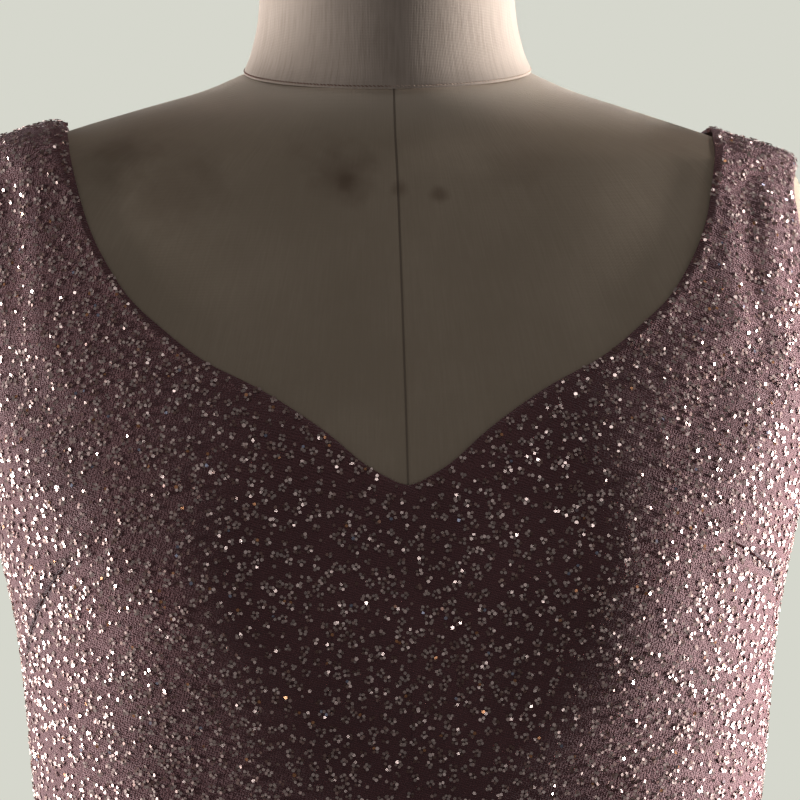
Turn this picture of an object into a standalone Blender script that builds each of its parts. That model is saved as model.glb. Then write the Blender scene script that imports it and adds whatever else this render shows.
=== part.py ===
"""Sequin maxi dress on a linen dress form with a round foot.

The dress hangs from two shoulder straps and is sewn from two panels, a front
with a V neck and a back with a shallow scoop. Both are walls of cloth lofted
through body sections, fitted from the bust to the hip and falling below it as
an A-line skirt with soft upright folds. The form under it is a linen torso
with its neck block, neck cap, bottom board, pole and a round foot with a collar.

Metres, +Z up. The dress faces -Y and the origin is on the floor, at the
centre of the foot. Angles run round the body from the wearer's side seam on
+X: -90 degrees is the centre front and 90 degrees is the centre back.
"""

import math
from collections import namedtuple

import bmesh
import bpy
from mathutils import Matrix, Vector

# ----------------------------------------------------------- driving sizes
WALL = 0.0020             # sequinned knit, edges turned in
SEAM_GAP = 0.0003         # between pieces that are sewn or set together
CLOTH_CLEARANCE = 0.0012  # form's linen to the inside of the cloth
ARM_CLEARANCE = 0.0015    # the same above the underarm, where the form curves tightly
ARM_FROM_Z = 1.262
HEM_Z = 0.025
UNDERARM_Z = 1.283
SHOULDER_SEAM_DEG = 0.09  # half the gap between the straps' front and back halves
COLUMNS = 16              # in each half of a panel

HIP_Z = 0.870
FORM_BOTTOM_Z = 0.800
FORM_TUCK = 0.012         # the form draws in below the hip, away from the skirt
ARM_END_X = 0.1722        # flat linen end of each shoulder
NECK_SEAM_Z = 1.452
NECK_LEAN = 0.20          # the neck seam dips to the front
NECK_LEAN_FROM_Z = 1.405
NECK_TOP_Z = 1.565
NECK_CAP_HEIGHT = 0.012
FORM_SEGMENTS = 36
FORM_UPPER_HEIGHTS = (
    UNDERARM_Z, 1.291, 1.299, 1.308, 1.320, 1.335, 1.351, 1.367, 1.381, 1.393, 1.402, 1.409, 1.414,
    1.4175, 1.4205, 1.4235, 1.4265, 1.4300, 1.4340, 1.4380, 1.4420, 1.4460, NECK_SEAM_Z,
)

BOARD_HEIGHT = 0.012
BOARD_OVERLAP = 0.94      # board's size against the form's bottom ring
POLE_RADIUS = 0.016
POLE_SEGMENTS = 24
FOOT_RADIUS = 0.150
FOOT_HEIGHT = 0.010
COLLAR_RADIUS = 0.030     # screwed on the foot, holds the pole
COLLAR_HEIGHT = 0.045
ROUND_SEGMENTS = 40       # round the foot and its collar
EDGE_ROUND = 0.002

# ------------------------------------------------------------------ tables
Section = namedtuple("Section", "z half_width front back front_power back_power")
BODY = (
    Section(HEM_Z, 0.3460, 0.3000, 0.3350, 2.05, 2.05),   # hem
    Section(0.200, 0.3135, 0.2680, 0.3000, 2.05, 2.05),
    Section(0.400, 0.2745, 0.2280, 0.2560, 2.10, 2.10),
    Section(0.600, 0.2305, 0.1840, 0.2040, 2.15, 2.15),
    Section(0.740, 0.2015, 0.1500, 0.1630, 2.20, 2.20),
    Section(HIP_Z, 0.1765, 0.1230, 0.1300, 2.30, 2.30),   # hip
    Section(0.930, 0.1660, 0.1160, 0.1190, 2.30, 2.25),
    Section(1.000, 0.1465, 0.1050, 0.0990, 2.25, 2.20),
    Section(1.065, 0.1320, 0.0970, 0.0815, 2.20, 2.15),   # waist
    Section(1.120, 0.1400, 0.1020, 0.0860, 2.30, 2.20),
    Section(1.161, 0.1466, 0.1060, 0.0920, 2.45, 2.20),
    Section(1.194, 0.1491, 0.1105, 0.0960, 2.65, 2.25),
    Section(1.227, 0.1526, 0.1140, 0.0985, 2.80, 2.30),
    Section(1.250, 0.1572, 0.1150, 0.1010, 2.85, 2.30),   # bust
    Section(1.276, 0.1636, 0.1125, 0.1030, 2.75, 2.30),
    Section(1.300, 0.1700, 0.1080, 0.1035, 2.60, 2.25),
    Section(1.330, 0.1750, 0.0985, 0.1020, 2.40, 2.20),
    Section(1.360, 0.1770, 0.0870, 0.0980, 2.25, 2.15),
    Section(1.390, 0.1750, 0.0745, 0.0900, 2.10, 2.05),
    Section(1.405, 0.1705, 0.0670, 0.0820, 2.00, 2.00),
    Section(1.414, 0.1655, 0.0620, 0.0760, 2.00, 2.00),   # shoulder point
    Section(1.427, 0.1305, 0.0555, 0.0680, 2.00, 2.00),
    Section(1.436, 0.1025, 0.0525, 0.0630, 2.00, 2.00),
    Section(1.444, 0.0765, 0.0505, 0.0580, 2.00, 2.00),
    Section(NECK_SEAM_Z, 0.0585, 0.0495, 0.0535, 2.00, 2.00),   # neck seam
)

NeckSection = namedtuple("NeckSection", "z half_width half_depth forward")
NECK = (
    NeckSection(NECK_SEAM_Z + SEAM_GAP, 0.0585, 0.0515, 0.000),
    NeckSection(1.4606, 0.0556, 0.0505, 0.001),
    NeckSection(1.4730, 0.0529, 0.0500, 0.003),
    NeckSection(1.4950, 0.0515, 0.0500, 0.006),
    NeckSection(1.5250, 0.0518, 0.0510, 0.009),
    NeckSection(1.5530, 0.0532, 0.0530, 0.012),
    NeckSection(NECK_TOP_Z, 0.0535, 0.0535, 0.013),
)

# Edges of a panel above the underarm, from the bottom of the neckline and
# the underarm up to the shoulder seam: neck edge by its x and z, armhole
# edge by its angle from the side seam and its z.
EdgeRow = namedtuple("EdgeRow", "neck_x neck_z arm_deg arm_z")
FRONT_EDGES = (
    EdgeRow(0.0000, 1.2840, 0.0, 1.2830),
    EdgeRow(0.0136, 1.2918, 5.0, 1.2865),
    EdgeRow(0.0300, 1.3045, 8.0, 1.2935),
    EdgeRow(0.0548, 1.3210, 9.8, 1.3040),
    EdgeRow(0.0774, 1.3328, 10.6, 1.3160),
    EdgeRow(0.0934, 1.3447, 11.0, 1.3290),
    EdgeRow(0.1065, 1.3568, 11.2, 1.3425),
    EdgeRow(0.1147, 1.3690, 11.2, 1.3560),
    EdgeRow(0.1208, 1.3810, 11.0, 1.3690),
    EdgeRow(0.1250, 1.3935, 10.6, 1.3820),
    EdgeRow(0.1277, 1.4060, 9.4, 1.3945),
    EdgeRow(0.1292, 1.4140, 7.7, 1.4020),
    EdgeRow(0.1300, 1.4196, 5.9, 1.4075),
    EdgeRow(0.1308, 1.4240, 3.0, 1.4120),
    EdgeRow(0.1330, 1.4270, 0.0, 1.4145),
)
BACK_EDGES = (
    EdgeRow(0.0000, 1.2830, 0.0, 1.2830),
    EdgeRow(0.0000, 1.2990, 5.0, 1.2865),
    EdgeRow(0.0000, 1.3150, 8.5, 1.2935),
    EdgeRow(0.0000, 1.3310, 10.5, 1.3040),
    EdgeRow(0.0000, 1.3470, 11.8, 1.3160),
    EdgeRow(0.0000, 1.3600, 12.4, 1.3290),
    EdgeRow(0.0320, 1.3625, 12.8, 1.3425),
    EdgeRow(0.0620, 1.3690, 12.9, 1.3560),
    EdgeRow(0.0880, 1.3790, 12.6, 1.3690),
    EdgeRow(0.1080, 1.3910, 11.9, 1.3820),
    EdgeRow(0.1200, 1.4040, 10.3, 1.3945),
    EdgeRow(0.1262, 1.4130, 8.3, 1.4018),
    EdgeRow(0.1290, 1.4192, 5.9, 1.4073),
    EdgeRow(0.1305, 1.4236, 3.0, 1.4118),
    EdgeRow(0.1330, 1.4270, 0.0, 1.4145),
)

# Level rows of both panels below the underarm.
Stretch = namedtuple("Stretch", "from_z to_z bands")
LEVEL_ROWS = (
    Stretch(HEM_Z, FORM_BOTTOM_Z, 10),
    Stretch(FORM_BOTTOM_Z, 1.100, 8),
    Stretch(1.100, UNDERARM_Z, 11),
)

# Upright folds of the skirt: each is a rounded ridge that stands out by
# `depth` at the hem and dies away at `top_z`.
Fold = namedtuple("Fold", "deg spread_deg depth top_z")
FOLDS = (
    Fold(-22.0, 8.0, 0.027, 0.80),
    Fold(-48.0, 7.0, 0.034, 0.92),
    Fold(-71.0, 6.5, 0.024, 0.72),
    Fold(-97.0, 8.0, 0.036, 0.86),
    Fold(-127.0, 7.0, 0.029, 0.90),
    Fold(-154.0, 8.0, 0.024, 0.76),
    Fold(21.0, 7.5, 0.029, 0.82),
    Fold(45.0, 7.0, 0.036, 0.92),
    Fold(70.0, 7.5, 0.030, 0.76),
    Fold(98.0, 7.0, 0.038, 0.94),
    Fold(126.0, 8.0, 0.028, 0.80),
    Fold(155.0, 7.5, 0.032, 0.86),
)

# Fullness of the bust, one each side, general to a form of this size.
BUST_DEG = 52.0
BUST_Z = 1.243
BUST_FULLNESS = 0.0065
BUST_SPREAD_DEG = 15.0
BUST_SPREAD_Z = 0.036

# The shoulder on -X is carried a little higher than the one on +X.
Shrug = namedtuple("Shrug", "side rise")
SHRUGS = (Shrug(-1, 0.0042), Shrug(1, -0.0012))
SHRUG_FROM_X = 0.040
SHRUG_FULL_X = 0.160
SHRUG_FROM_Z = 1.300
SHRUG_FULL_Z = 1.400


# ------------------------------------------------------------------- curves
def smooth_curve(table, column):
    """Return f(z), a smooth curve through one column that never overshoots."""
    xs = [row.z for row in table]
    ys = [getattr(row, column) for row in table]
    steps = [b - a for a, b in zip(xs, xs[1:])]
    slopes = [(b - a) / h for a, b, h in zip(ys, ys[1:], steps)]
    tangents = [slopes[0]]
    for left, right in zip(slopes, slopes[1:]):
        same_way = left * right > 0.0
        tangents.append(2.0 * left * right / (left + right) if same_way else 0.0)
    tangents.append(slopes[-1])

    def value(z):
        z = min(max(z, xs[0]), xs[-1])
        i = max(k for k in range(len(steps)) if z >= xs[k])
        t = (z - xs[i]) / steps[i]
        rise = 3.0 * t * t - 2.0 * t * t * t
        start = t * (1.0 - t) * (1.0 - t) * steps[i]
        end = t * t * (t - 1.0) * steps[i]
        return ys[i] + (ys[i + 1] - ys[i]) * rise + tangents[i] * start + tangents[i + 1] * end

    return value


HALF_WIDTH = smooth_curve(BODY, "half_width")
FRONT = smooth_curve(BODY, "front")
BACK = smooth_curve(BODY, "back")
FRONT_POWER = smooth_curve(BODY, "front_power")
BACK_POWER = smooth_curve(BODY, "back_power")


def ease(t):
    """Return 0 to 1, level at both ends."""
    t = min(max(t, 0.0), 1.0)
    return t * t * (3.0 - 2.0 * t)


def angle_between(a, b):
    """Return the angle from b to a, within half a turn."""
    return (a - b + 180.0) % 360.0 - 180.0


# ------------------------------------------------------------ body and cloth
def fold_height(deg, z):
    """Return how far the skirt's folds stand out here."""
    height = 0.0
    for fold in FOLDS:
        hang = ease((fold.top_z - z) / (fold.top_z - HEM_Z))
        reach = angle_between(deg, fold.deg) / fold.spread_deg
        height += fold.depth * hang * math.exp(-reach * reach)
    return height


def bust_height(deg, z):
    """Return the fullness of the bust here."""
    level = (z - BUST_Z) / BUST_SPREAD_Z
    height = 0.0
    for apex in (-BUST_DEG, BUST_DEG - 180.0):
        reach = angle_between(deg, apex) / BUST_SPREAD_DEG
        height += BUST_FULLNESS * math.exp(-reach * reach - level * level)
    return height


def shoulder_rise(x, z):
    """Return how much higher the body is here than its section."""
    level = ease((z - SHRUG_FROM_Z) / (SHRUG_FULL_Z - SHRUG_FROM_Z))
    return sum(
        shrug.rise * level * ease((shrug.side * x - SHRUG_FROM_X) / (SHRUG_FULL_X - SHRUG_FROM_X))
        for shrug in SHRUGS
    )


def body_point(deg, z):
    """Return the point of the cloth's inside at this angle and section."""
    angle = math.radians(deg)
    across, along = math.cos(angle), math.sin(angle)
    depth, power = (FRONT(z), FRONT_POWER(z)) if along < 0.0 else (BACK(z), BACK_POWER(z))
    radius = (abs(across / HALF_WIDTH(z)) ** power + abs(along / depth) ** power) ** (-1.0 / power)
    radius += fold_height(deg, z) + bust_height(deg, z)
    x, y = radius * across, radius * along
    lean = NECK_LEAN * ease((z - NECK_LEAN_FROM_Z) / (NECK_SEAM_Z - NECK_LEAN_FROM_Z))
    return Vector((x, y, z + lean * y + shoulder_rise(x, z)))


def body_normal(deg, z):
    """Return the outward direction of the cloth at this angle and section."""
    turn, rise = 0.4, 0.0006
    low, high = z - rise, min(z + rise, NECK_SEAM_Z)
    along = body_point(deg + turn, z) - body_point(deg - turn, z)
    up = body_point(deg, high) - body_point(deg, low)
    return along.cross(up).normalized()


def edge_angle(x, z, way):
    """Return the angle from the side seam of the point at this x and z.

    way is -1 on the front of the body and 1 on its back.
    """
    depth, power = (FRONT(z), FRONT_POWER(z)) if way < 0.0 else (BACK(z), BACK_POWER(z))
    share = min(x / HALF_WIDTH(z), 1.0)
    y = depth * (1.0 - share ** power) ** (1.0 / power)
    return math.degrees(math.atan2(y, x))


# ------------------------------------------------------------------- panels
def level_heights():
    """Return the heights of a panel's level rows."""
    heights = []
    for stretch in LEVEL_ROWS:
        step = (stretch.to_z - stretch.from_z) / stretch.bands
        heights += [stretch.from_z + step * band for band in range(stretch.bands)]
    return heights


def even_row(start, end):
    """Return COLUMNS + 1 points on the body, evenly spaced from start to end.

    start and end are pairs of an angle and a section height.
    """
    def along(t):
        return body_point(start[0] + (end[0] - start[0]) * t, start[1] + (end[1] - start[1]) * t)

    samples = 8 * COLUMNS
    path = [along(i / samples) for i in range(samples + 1)]
    reach = [0.0]
    for a, b in zip(path, path[1:]):
        reach.append(reach[-1] + (b - a).length)
    row = [path[0]]
    k = 0
    for column in range(1, COLUMNS):
        target = reach[-1] * column / COLUMNS
        while reach[k + 1] < target:
            k += 1
        row.append(along((k + (target - reach[k]) / (reach[k + 1] - reach[k])) / samples))
    return row + [path[-1]]


def panel_rows(edges, way, side):
    """Return the rows of one half panel, from hem to shoulder seam.

    way is -1 for the front and 1 for the back, side is 1 for the half on +X
    and -1 for the other, and a row runs from the centre line or neckline to
    the side seam or armhole.
    """
    centre_deg = 90.0 * way

    def placed(deg):
        deg = max(deg, SHOULDER_SEAM_DEG)
        return way * (deg if side > 0 else 180.0 - deg)

    rows = []
    for z in level_heights():
        side_deg = placed(math.degrees(0.5 * SEAM_GAP / HALF_WIDTH(z)))
        rows.append(even_row((centre_deg, z), (side_deg, z)))
    for edge in edges:
        at_centre = edge.neck_x == 0.0
        neck_deg = centre_deg if at_centre else placed(edge_angle(edge.neck_x, edge.neck_z, way))
        rows.append(even_row((neck_deg, edge.neck_z), (placed(edge.arm_deg), edge.arm_z)))
    return rows


def sewn_panel(name, edges, way, material, collection):
    """Build a panel as one wall of cloth, from the inside of the cloth out."""
    mesh = bmesh.new()
    for side in (1, -1):
        rows = panel_rows(edges, way, side)
        grid = [[mesh.verts.new(point) for point in row] for row in rows]
        outward = (side > 0) == (way < 0)
        for low, high in zip(grid, grid[1:]):
            for i in range(COLUMNS):
                corners = (low[i], low[i + 1], high[i + 1], high[i])
                mesh.faces.new(corners if outward else corners[::-1])
    bmesh.ops.remove_doubles(mesh, verts=mesh.verts[:], dist=0.00001)
    panel = add_object(name, mesh, material, collection)
    wall = panel.modifiers.new("wall", "SOLIDIFY")
    wall.thickness = WALL
    wall.offset = 1.0
    wall.use_even_offset = True
    return panel


# --------------------------------------------------------------------- form
def lofted_body(name, rings, material, collection):
    """Build a closed body through rings of points, with a flat cap each end."""
    mesh = bmesh.new()
    loops = [[mesh.verts.new(point) for point in ring] for ring in rings]
    for low, high in zip(loops, loops[1:]):
        count = len(low)
        for i in range(count):
            j = (i + 1) % count
            mesh.faces.new((low[i], low[j], high[j], high[i]))
    mesh.faces.new(loops[0][::-1])
    mesh.faces.new(loops[-1])
    return add_object(name, mesh, material, collection)


def form_heights():
    """Return the heights of the form's rings.

    They match the cloth's rows below the underarm, so that the two walls stay
    parallel where the waist draws in, and lie close together at the shoulder.
    """
    return [z for z in level_heights() if z > FORM_BOTTOM_Z - SEAM_GAP] + list(FORM_UPPER_HEIGHTS)


def form_ring(z):
    """Return one ring of the torso, just inside the cloth."""
    at_arm = ease((z - ARM_FROM_Z) / (UNDERARM_Z - ARM_FROM_Z))
    inset = CLOTH_CLEARANCE + (ARM_CLEARANCE - CLOTH_CLEARANCE) * at_arm
    tuck = FORM_TUCK * ease((HIP_Z - z) / (HIP_Z - FORM_BOTTOM_Z))
    ring = []
    for i in range(FORM_SEGMENTS):
        deg = 360.0 * i / FORM_SEGMENTS
        outward = body_normal(deg, z)
        point = body_point(deg, z) - outward * inset
        point -= Vector((outward.x, outward.y, 0.0)) * tuck
        point.x = min(max(point.x, -ARM_END_X), ARM_END_X)
        point.z = max(point.z, FORM_BOTTOM_Z)
        ring.append(point)
    return ring


def neck_ring(section):
    """Return one ring of the neck block, level at its top end."""
    lean = NECK_LEAN * (1.0 - ease((section.z - NECK_SEAM_Z) / (NECK_TOP_Z - NECK_SEAM_Z)))
    ring = []
    for i in range(FORM_SEGMENTS):
        angle = math.tau * i / FORM_SEGMENTS
        y = section.half_depth * math.sin(angle)
        ring.append(Vector((section.half_width * math.cos(angle), y - section.forward, section.z + lean * y)))
    return ring


def oval_plate(name, centre, radii, height, segments, material, collection):
    """Build a flat oval plate with softened edges, standing on `centre`."""
    bpy.ops.mesh.primitive_cylinder_add(vertices=segments, radius=1.0, depth=1.0)
    plate = bpy.context.active_object
    middle = Vector((centre[0], centre[1], centre[2] + 0.5 * height))
    plate.data.transform(Matrix.Translation(middle) @ Matrix.Diagonal((radii[0], radii[1], height, 1.0)))
    bevel = plate.modifiers.new("softened edge", "BEVEL")
    bevel.width = EDGE_ROUND
    bevel.segments = 1
    bevel.limit_method = "ANGLE"
    return adopt(plate, name, material, collection)


def stand_pole(top_z, material, collection):
    """Build the pole from the foot's collar up to the board."""
    bottom_z = FOOT_HEIGHT + COLLAR_HEIGHT + SEAM_GAP
    bpy.ops.mesh.primitive_cylinder_add(
        vertices=POLE_SEGMENTS, radius=POLE_RADIUS, depth=top_z - bottom_z,
    )
    pole = bpy.context.active_object
    pole.location.z = 0.5 * (top_z + bottom_z)
    return adopt(pole, "stand_pole", material, collection)


def stand_foot(material, collection):
    """Build the round foot and, on it, the collar that holds the pole."""
    oval_plate(
        "stand_foot", (0.0, 0.0, 0.0), (FOOT_RADIUS, FOOT_RADIUS), FOOT_HEIGHT,
        ROUND_SEGMENTS, material, collection,
    )
    oval_plate(
        "stand_collar", (0.0, 0.0, FOOT_HEIGHT + SEAM_GAP), (COLLAR_RADIUS, COLLAR_RADIUS),
        COLLAR_HEIGHT - SEAM_GAP, ROUND_SEGMENTS, material, collection,
    )


# ------------------------------------------------------------------ objects
def plain_material(name, colour, roughness, metallic=0.0):
    """Return a Principled material of one plain finish."""
    material = bpy.data.materials.new(name)
    material.use_nodes = True
    shader = material.node_tree.nodes["Principled BSDF"]
    shader.inputs["Base Color"].default_value = (*colour, 1.0)
    shader.inputs["Roughness"].default_value = roughness
    shader.inputs["Metallic"].default_value = metallic
    return material


def adopt(item, name, material, collection):
    """Name an object, give it its material and put it in the collection."""
    for holder in list(item.users_collection):
        holder.objects.unlink(item)
    collection.objects.link(item)
    item.name = name
    item.data.name = name
    item.data.materials.clear()
    item.data.materials.append(material)
    item.data.shade_smooth()
    item.data.set_sharp_from_angle(angle=math.radians(40.0))
    return item


def add_object(name, mesh, material, collection):
    """Turn a bmesh into a named object."""
    data = bpy.data.meshes.new(name)
    mesh.to_mesh(data)
    mesh.free()
    return adopt(bpy.data.objects.new(name, data), name, material, collection)


def build():
    """Build the dress, the form under it and its stand."""
    for item in list(bpy.data.objects):
        bpy.data.objects.remove(item, do_unlink=True)
    collection = bpy.data.collections.new("sequin_maxi_dress_on_form")
    bpy.context.scene.collection.children.link(collection)

    knit = plain_material("mauve sequin knit", (0.33, 0.20, 0.20), 0.55)
    linen = plain_material("grey linen", (0.36, 0.32, 0.26), 0.85)
    wood = plain_material("pale beech", (0.55, 0.38, 0.22), 0.50)
    steel = plain_material("black painted steel", (0.03, 0.03, 0.03), 0.40, 0.5)

    sewn_panel("dress_front", FRONT_EDGES, -1, knit, collection)
    sewn_panel("dress_back", BACK_EDGES, 1, knit, collection)

    lofted_body("form_torso", [form_ring(z) for z in form_heights()], linen, collection)
    lofted_body("form_neck", [neck_ring(section) for section in NECK], linen, collection)
    top = NECK[-1]
    oval_plate(
        "form_neck_cap", (0.0, -top.forward, NECK_TOP_Z + SEAM_GAP),
        (top.half_width, top.half_depth), NECK_CAP_HEIGHT, FORM_SEGMENTS, wood, collection,
    )
    board_z = FORM_BOTTOM_Z - SEAM_GAP - BOARD_HEIGHT
    half_depth = 0.5 * (FRONT(FORM_BOTTOM_Z) + BACK(FORM_BOTTOM_Z))
    oval_plate(
        "form_bottom_board", (0.0, 0.5 * (BACK(FORM_BOTTOM_Z) - FRONT(FORM_BOTTOM_Z)), board_z),
        (BOARD_OVERLAP * (HALF_WIDTH(FORM_BOTTOM_Z) - FORM_TUCK), BOARD_OVERLAP * (half_depth - FORM_TUCK)),
        BOARD_HEIGHT, FORM_SEGMENTS, wood, collection,
    )
    stand_pole(board_z - SEAM_GAP, steel, collection)
    stand_foot(steel, collection)


build()
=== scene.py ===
"""Looks of the sequin maxi dress on its linen dress form.

The dress is two thin panels of sequinned knit on the shapes of their solids,
with rolled edges, darts, soft creases and some two hundred thousand tiny
sequins in clusters. The form is drawn linen with a whip-stitched neck seam, on a
beech board and a black steel pole and foot.

Metres, +Z up. The dress faces -Y. Angles run round the body in degrees from
the side seam on +X: -90 is the centre front and 90 the centre back.
"""

import logging
import math
from dataclasses import dataclass, field
from enum import Enum
from typing import Callable, Iterator, NamedTuple, Sequence

import bmesh
import bpy
import numpy as np
from mathutils import Matrix, Vector, noise
from mathutils.bvhtree import BVHTree
from mathutils.kdtree import KDTree


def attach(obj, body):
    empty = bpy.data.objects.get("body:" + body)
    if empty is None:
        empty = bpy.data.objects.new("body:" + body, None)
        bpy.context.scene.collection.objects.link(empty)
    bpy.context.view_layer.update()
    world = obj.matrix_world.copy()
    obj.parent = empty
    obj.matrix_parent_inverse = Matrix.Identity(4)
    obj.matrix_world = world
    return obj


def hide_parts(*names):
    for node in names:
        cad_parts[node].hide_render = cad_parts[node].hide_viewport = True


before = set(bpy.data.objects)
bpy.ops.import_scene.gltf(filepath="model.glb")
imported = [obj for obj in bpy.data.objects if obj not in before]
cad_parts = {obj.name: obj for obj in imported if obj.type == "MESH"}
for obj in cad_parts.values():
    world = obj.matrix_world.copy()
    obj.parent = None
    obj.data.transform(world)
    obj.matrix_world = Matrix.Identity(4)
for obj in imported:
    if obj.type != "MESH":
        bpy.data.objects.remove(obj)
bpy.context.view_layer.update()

LOG = logging.getLogger("sequin_dress")
Array = np.ndarray
Colour = tuple[float, float, float]
Curve = Callable[[Array], Array]
Surface = Callable[[Array, Array], Array]
BMesh = bmesh.types.BMesh
Mesh = bpy.types.Mesh
Material = bpy.types.Material
Node = bpy.types.Node
NodeTree = bpy.types.NodeTree
Socket = bpy.types.NodeSocket
Piece = bpy.types.Object

# ------------------------------------------------------- sizes from the part
WALL = 0.0020
NECK_TIP_ROUND = 0.0020   # how softly the V of the neckline ends
NECK_TIP_LIFT = 0.6       # how far that lifts its tip, as a share of the round
SEAM_GAP = 0.0003
CLOTH_CLEARANCE = 0.0012
ARM_CLEARANCE = 0.0015
ARM_FROM_Z = 1.262
HEM_Z = 0.025
UNDERARM_Z = 1.283
SHOULDER_SEAM_DEG = 0.09
HIP_Z = 0.870
FORM_BOTTOM_Z = 0.800
FORM_TUCK = 0.012
ARM_END_X = 0.1722
NECK_SEAM_Z = 1.452
NECK_LEAN = 0.20
NECK_LEAN_FROM_Z = 1.405
NECK_TOP_Z = 1.565


class Section(NamedTuple):
    """One level of the body: half width, depths and corner powers."""

    z: float
    half_width: float
    front: float
    back: float
    front_power: float
    back_power: float


BODY = tuple(Section(*row) for row in (
    (HEM_Z, 0.3460, 0.3000, 0.3350, 2.05, 2.05),
    (0.200, 0.3135, 0.2680, 0.3000, 2.05, 2.05),
    (0.400, 0.2745, 0.2280, 0.2560, 2.10, 2.10),
    (0.600, 0.2305, 0.1840, 0.2040, 2.15, 2.15),
    (0.740, 0.2015, 0.1500, 0.1630, 2.20, 2.20),
    (HIP_Z, 0.1765, 0.1230, 0.1300, 2.30, 2.30),
    (0.930, 0.1660, 0.1160, 0.1190, 2.30, 2.25),
    (1.000, 0.1465, 0.1050, 0.0990, 2.25, 2.20),
    (1.065, 0.1320, 0.0970, 0.0815, 2.20, 2.15),
    (1.120, 0.1400, 0.1020, 0.0860, 2.30, 2.20),
    (1.161, 0.1466, 0.1060, 0.0920, 2.45, 2.20),
    (1.194, 0.1491, 0.1105, 0.0960, 2.65, 2.25),
    (1.227, 0.1526, 0.1140, 0.0985, 2.80, 2.30),
    (1.250, 0.1572, 0.1150, 0.1010, 2.85, 2.30),
    (1.276, 0.1636, 0.1125, 0.1030, 2.75, 2.30),
    (1.300, 0.1700, 0.1080, 0.1035, 2.60, 2.25),
    (1.330, 0.1750, 0.0985, 0.1020, 2.40, 2.20),
    (1.360, 0.1770, 0.0870, 0.0980, 2.25, 2.15),
    (1.390, 0.1750, 0.0745, 0.0900, 2.10, 2.05),
    (1.405, 0.1705, 0.0670, 0.0820, 2.00, 2.00),
    (1.414, 0.1655, 0.0620, 0.0760, 2.00, 2.00),
    (1.427, 0.1305, 0.0555, 0.0680, 2.00, 2.00),
    (1.436, 0.1025, 0.0525, 0.0630, 2.00, 2.00),
    (1.444, 0.0765, 0.0505, 0.0580, 2.00, 2.00),
    (NECK_SEAM_Z, 0.0585, 0.0495, 0.0535, 2.00, 2.00),
))


class NeckSection(NamedTuple):
    """One level of the neck block."""

    z: float
    half_width: float
    half_depth: float
    forward: float


NECK = tuple(NeckSection(*row) for row in (
    (NECK_SEAM_Z + SEAM_GAP, 0.0585, 0.0515, 0.000),
    (1.4606, 0.0556, 0.0505, 0.001),
    (1.4730, 0.0529, 0.0500, 0.003),
    (1.4950, 0.0515, 0.0500, 0.006),
    (1.5250, 0.0518, 0.0510, 0.009),
    (1.5530, 0.0532, 0.0530, 0.012),
    (NECK_TOP_Z, 0.0535, 0.0535, 0.013),
))


class EdgeRow(NamedTuple):
    """One row between the neck edge (x, z) and the armhole (angle, z)."""

    neck_x: float
    neck_z: float
    arm_deg: float
    arm_z: float


FRONT_EDGES = tuple(EdgeRow(*row) for row in (
    (0.0000, 1.2825, 0.0, 1.2830),
    (0.0160, 1.2916, 5.0, 1.2865),
    (0.0312, 1.3045, 8.0, 1.2935),
    (0.0556, 1.3210, 9.8, 1.3040),
    (0.0780, 1.3328, 10.6, 1.3160),
    (0.0934, 1.3447, 11.0, 1.3290),
    (0.1065, 1.3568, 11.2, 1.3425),
    (0.1147, 1.3690, 11.2, 1.3560),
    (0.1208, 1.3810, 11.0, 1.3690),
    (0.1250, 1.3935, 10.6, 1.3820),
    (0.1277, 1.4060, 9.4, 1.3945),
    (0.1292, 1.4140, 7.7, 1.4020),
    (0.1300, 1.4196, 5.9, 1.4075),
    (0.1308, 1.4240, 3.0, 1.4120),
    (0.1330, 1.4270, 0.0, 1.4145),
))
BACK_EDGES = tuple(EdgeRow(*row) for row in (
    (0.0000, 1.2830, 0.0, 1.2830),
    (0.0000, 1.2990, 5.0, 1.2865),
    (0.0000, 1.3150, 8.5, 1.2935),
    (0.0000, 1.3310, 10.5, 1.3040),
    (0.0000, 1.3470, 11.8, 1.3160),
    (0.0000, 1.3600, 12.4, 1.3290),
    (0.0320, 1.3625, 12.8, 1.3425),
    (0.0620, 1.3690, 12.9, 1.3560),
    (0.0880, 1.3790, 12.6, 1.3690),
    (0.1080, 1.3910, 11.9, 1.3820),
    (0.1200, 1.4040, 10.3, 1.3945),
    (0.1262, 1.4130, 8.3, 1.4018),
    (0.1290, 1.4192, 5.9, 1.4073),
    (0.1305, 1.4236, 3.0, 1.4118),
    (0.1330, 1.4270, 0.0, 1.4145),
))


class Fold(NamedTuple):
    """An upright fold of the skirt: a ridge that dies away at top_z."""

    deg: float
    spread_deg: float
    depth: float
    top_z: float


FOLDS = tuple(Fold(*row) for row in (
    (-22.0, 8.0, 0.027, 0.80),
    (-48.0, 7.0, 0.034, 0.92),
    (-71.0, 6.5, 0.024, 0.72),
    (-97.0, 8.0, 0.036, 0.86),
    (-127.0, 7.0, 0.029, 0.90),
    (-154.0, 8.0, 0.024, 0.76),
    (21.0, 7.5, 0.029, 0.82),
    (45.0, 7.0, 0.036, 0.92),
    (70.0, 7.5, 0.030, 0.76),
    (98.0, 7.0, 0.038, 0.94),
    (126.0, 8.0, 0.028, 0.80),
    (155.0, 7.5, 0.032, 0.86),
))
BUST_DEG = 52.0
BUST_Z = 1.243
BUST_FULLNESS = 0.0065
BUST_SPREAD_DEG = 15.0
BUST_SPREAD_Z = 0.036


class Shrug(NamedTuple):
    """How much one shoulder is raised: side -1 is the one on -X."""

    side: int
    rise: float


SHRUGS = (Shrug(-1, 0.0042), Shrug(1, -0.0012))
SHRUG_FROM_X = 0.040
SHRUG_FULL_X = 0.160
SHRUG_FROM_Z = 1.300
SHRUG_FULL_Z = 1.400


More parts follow.
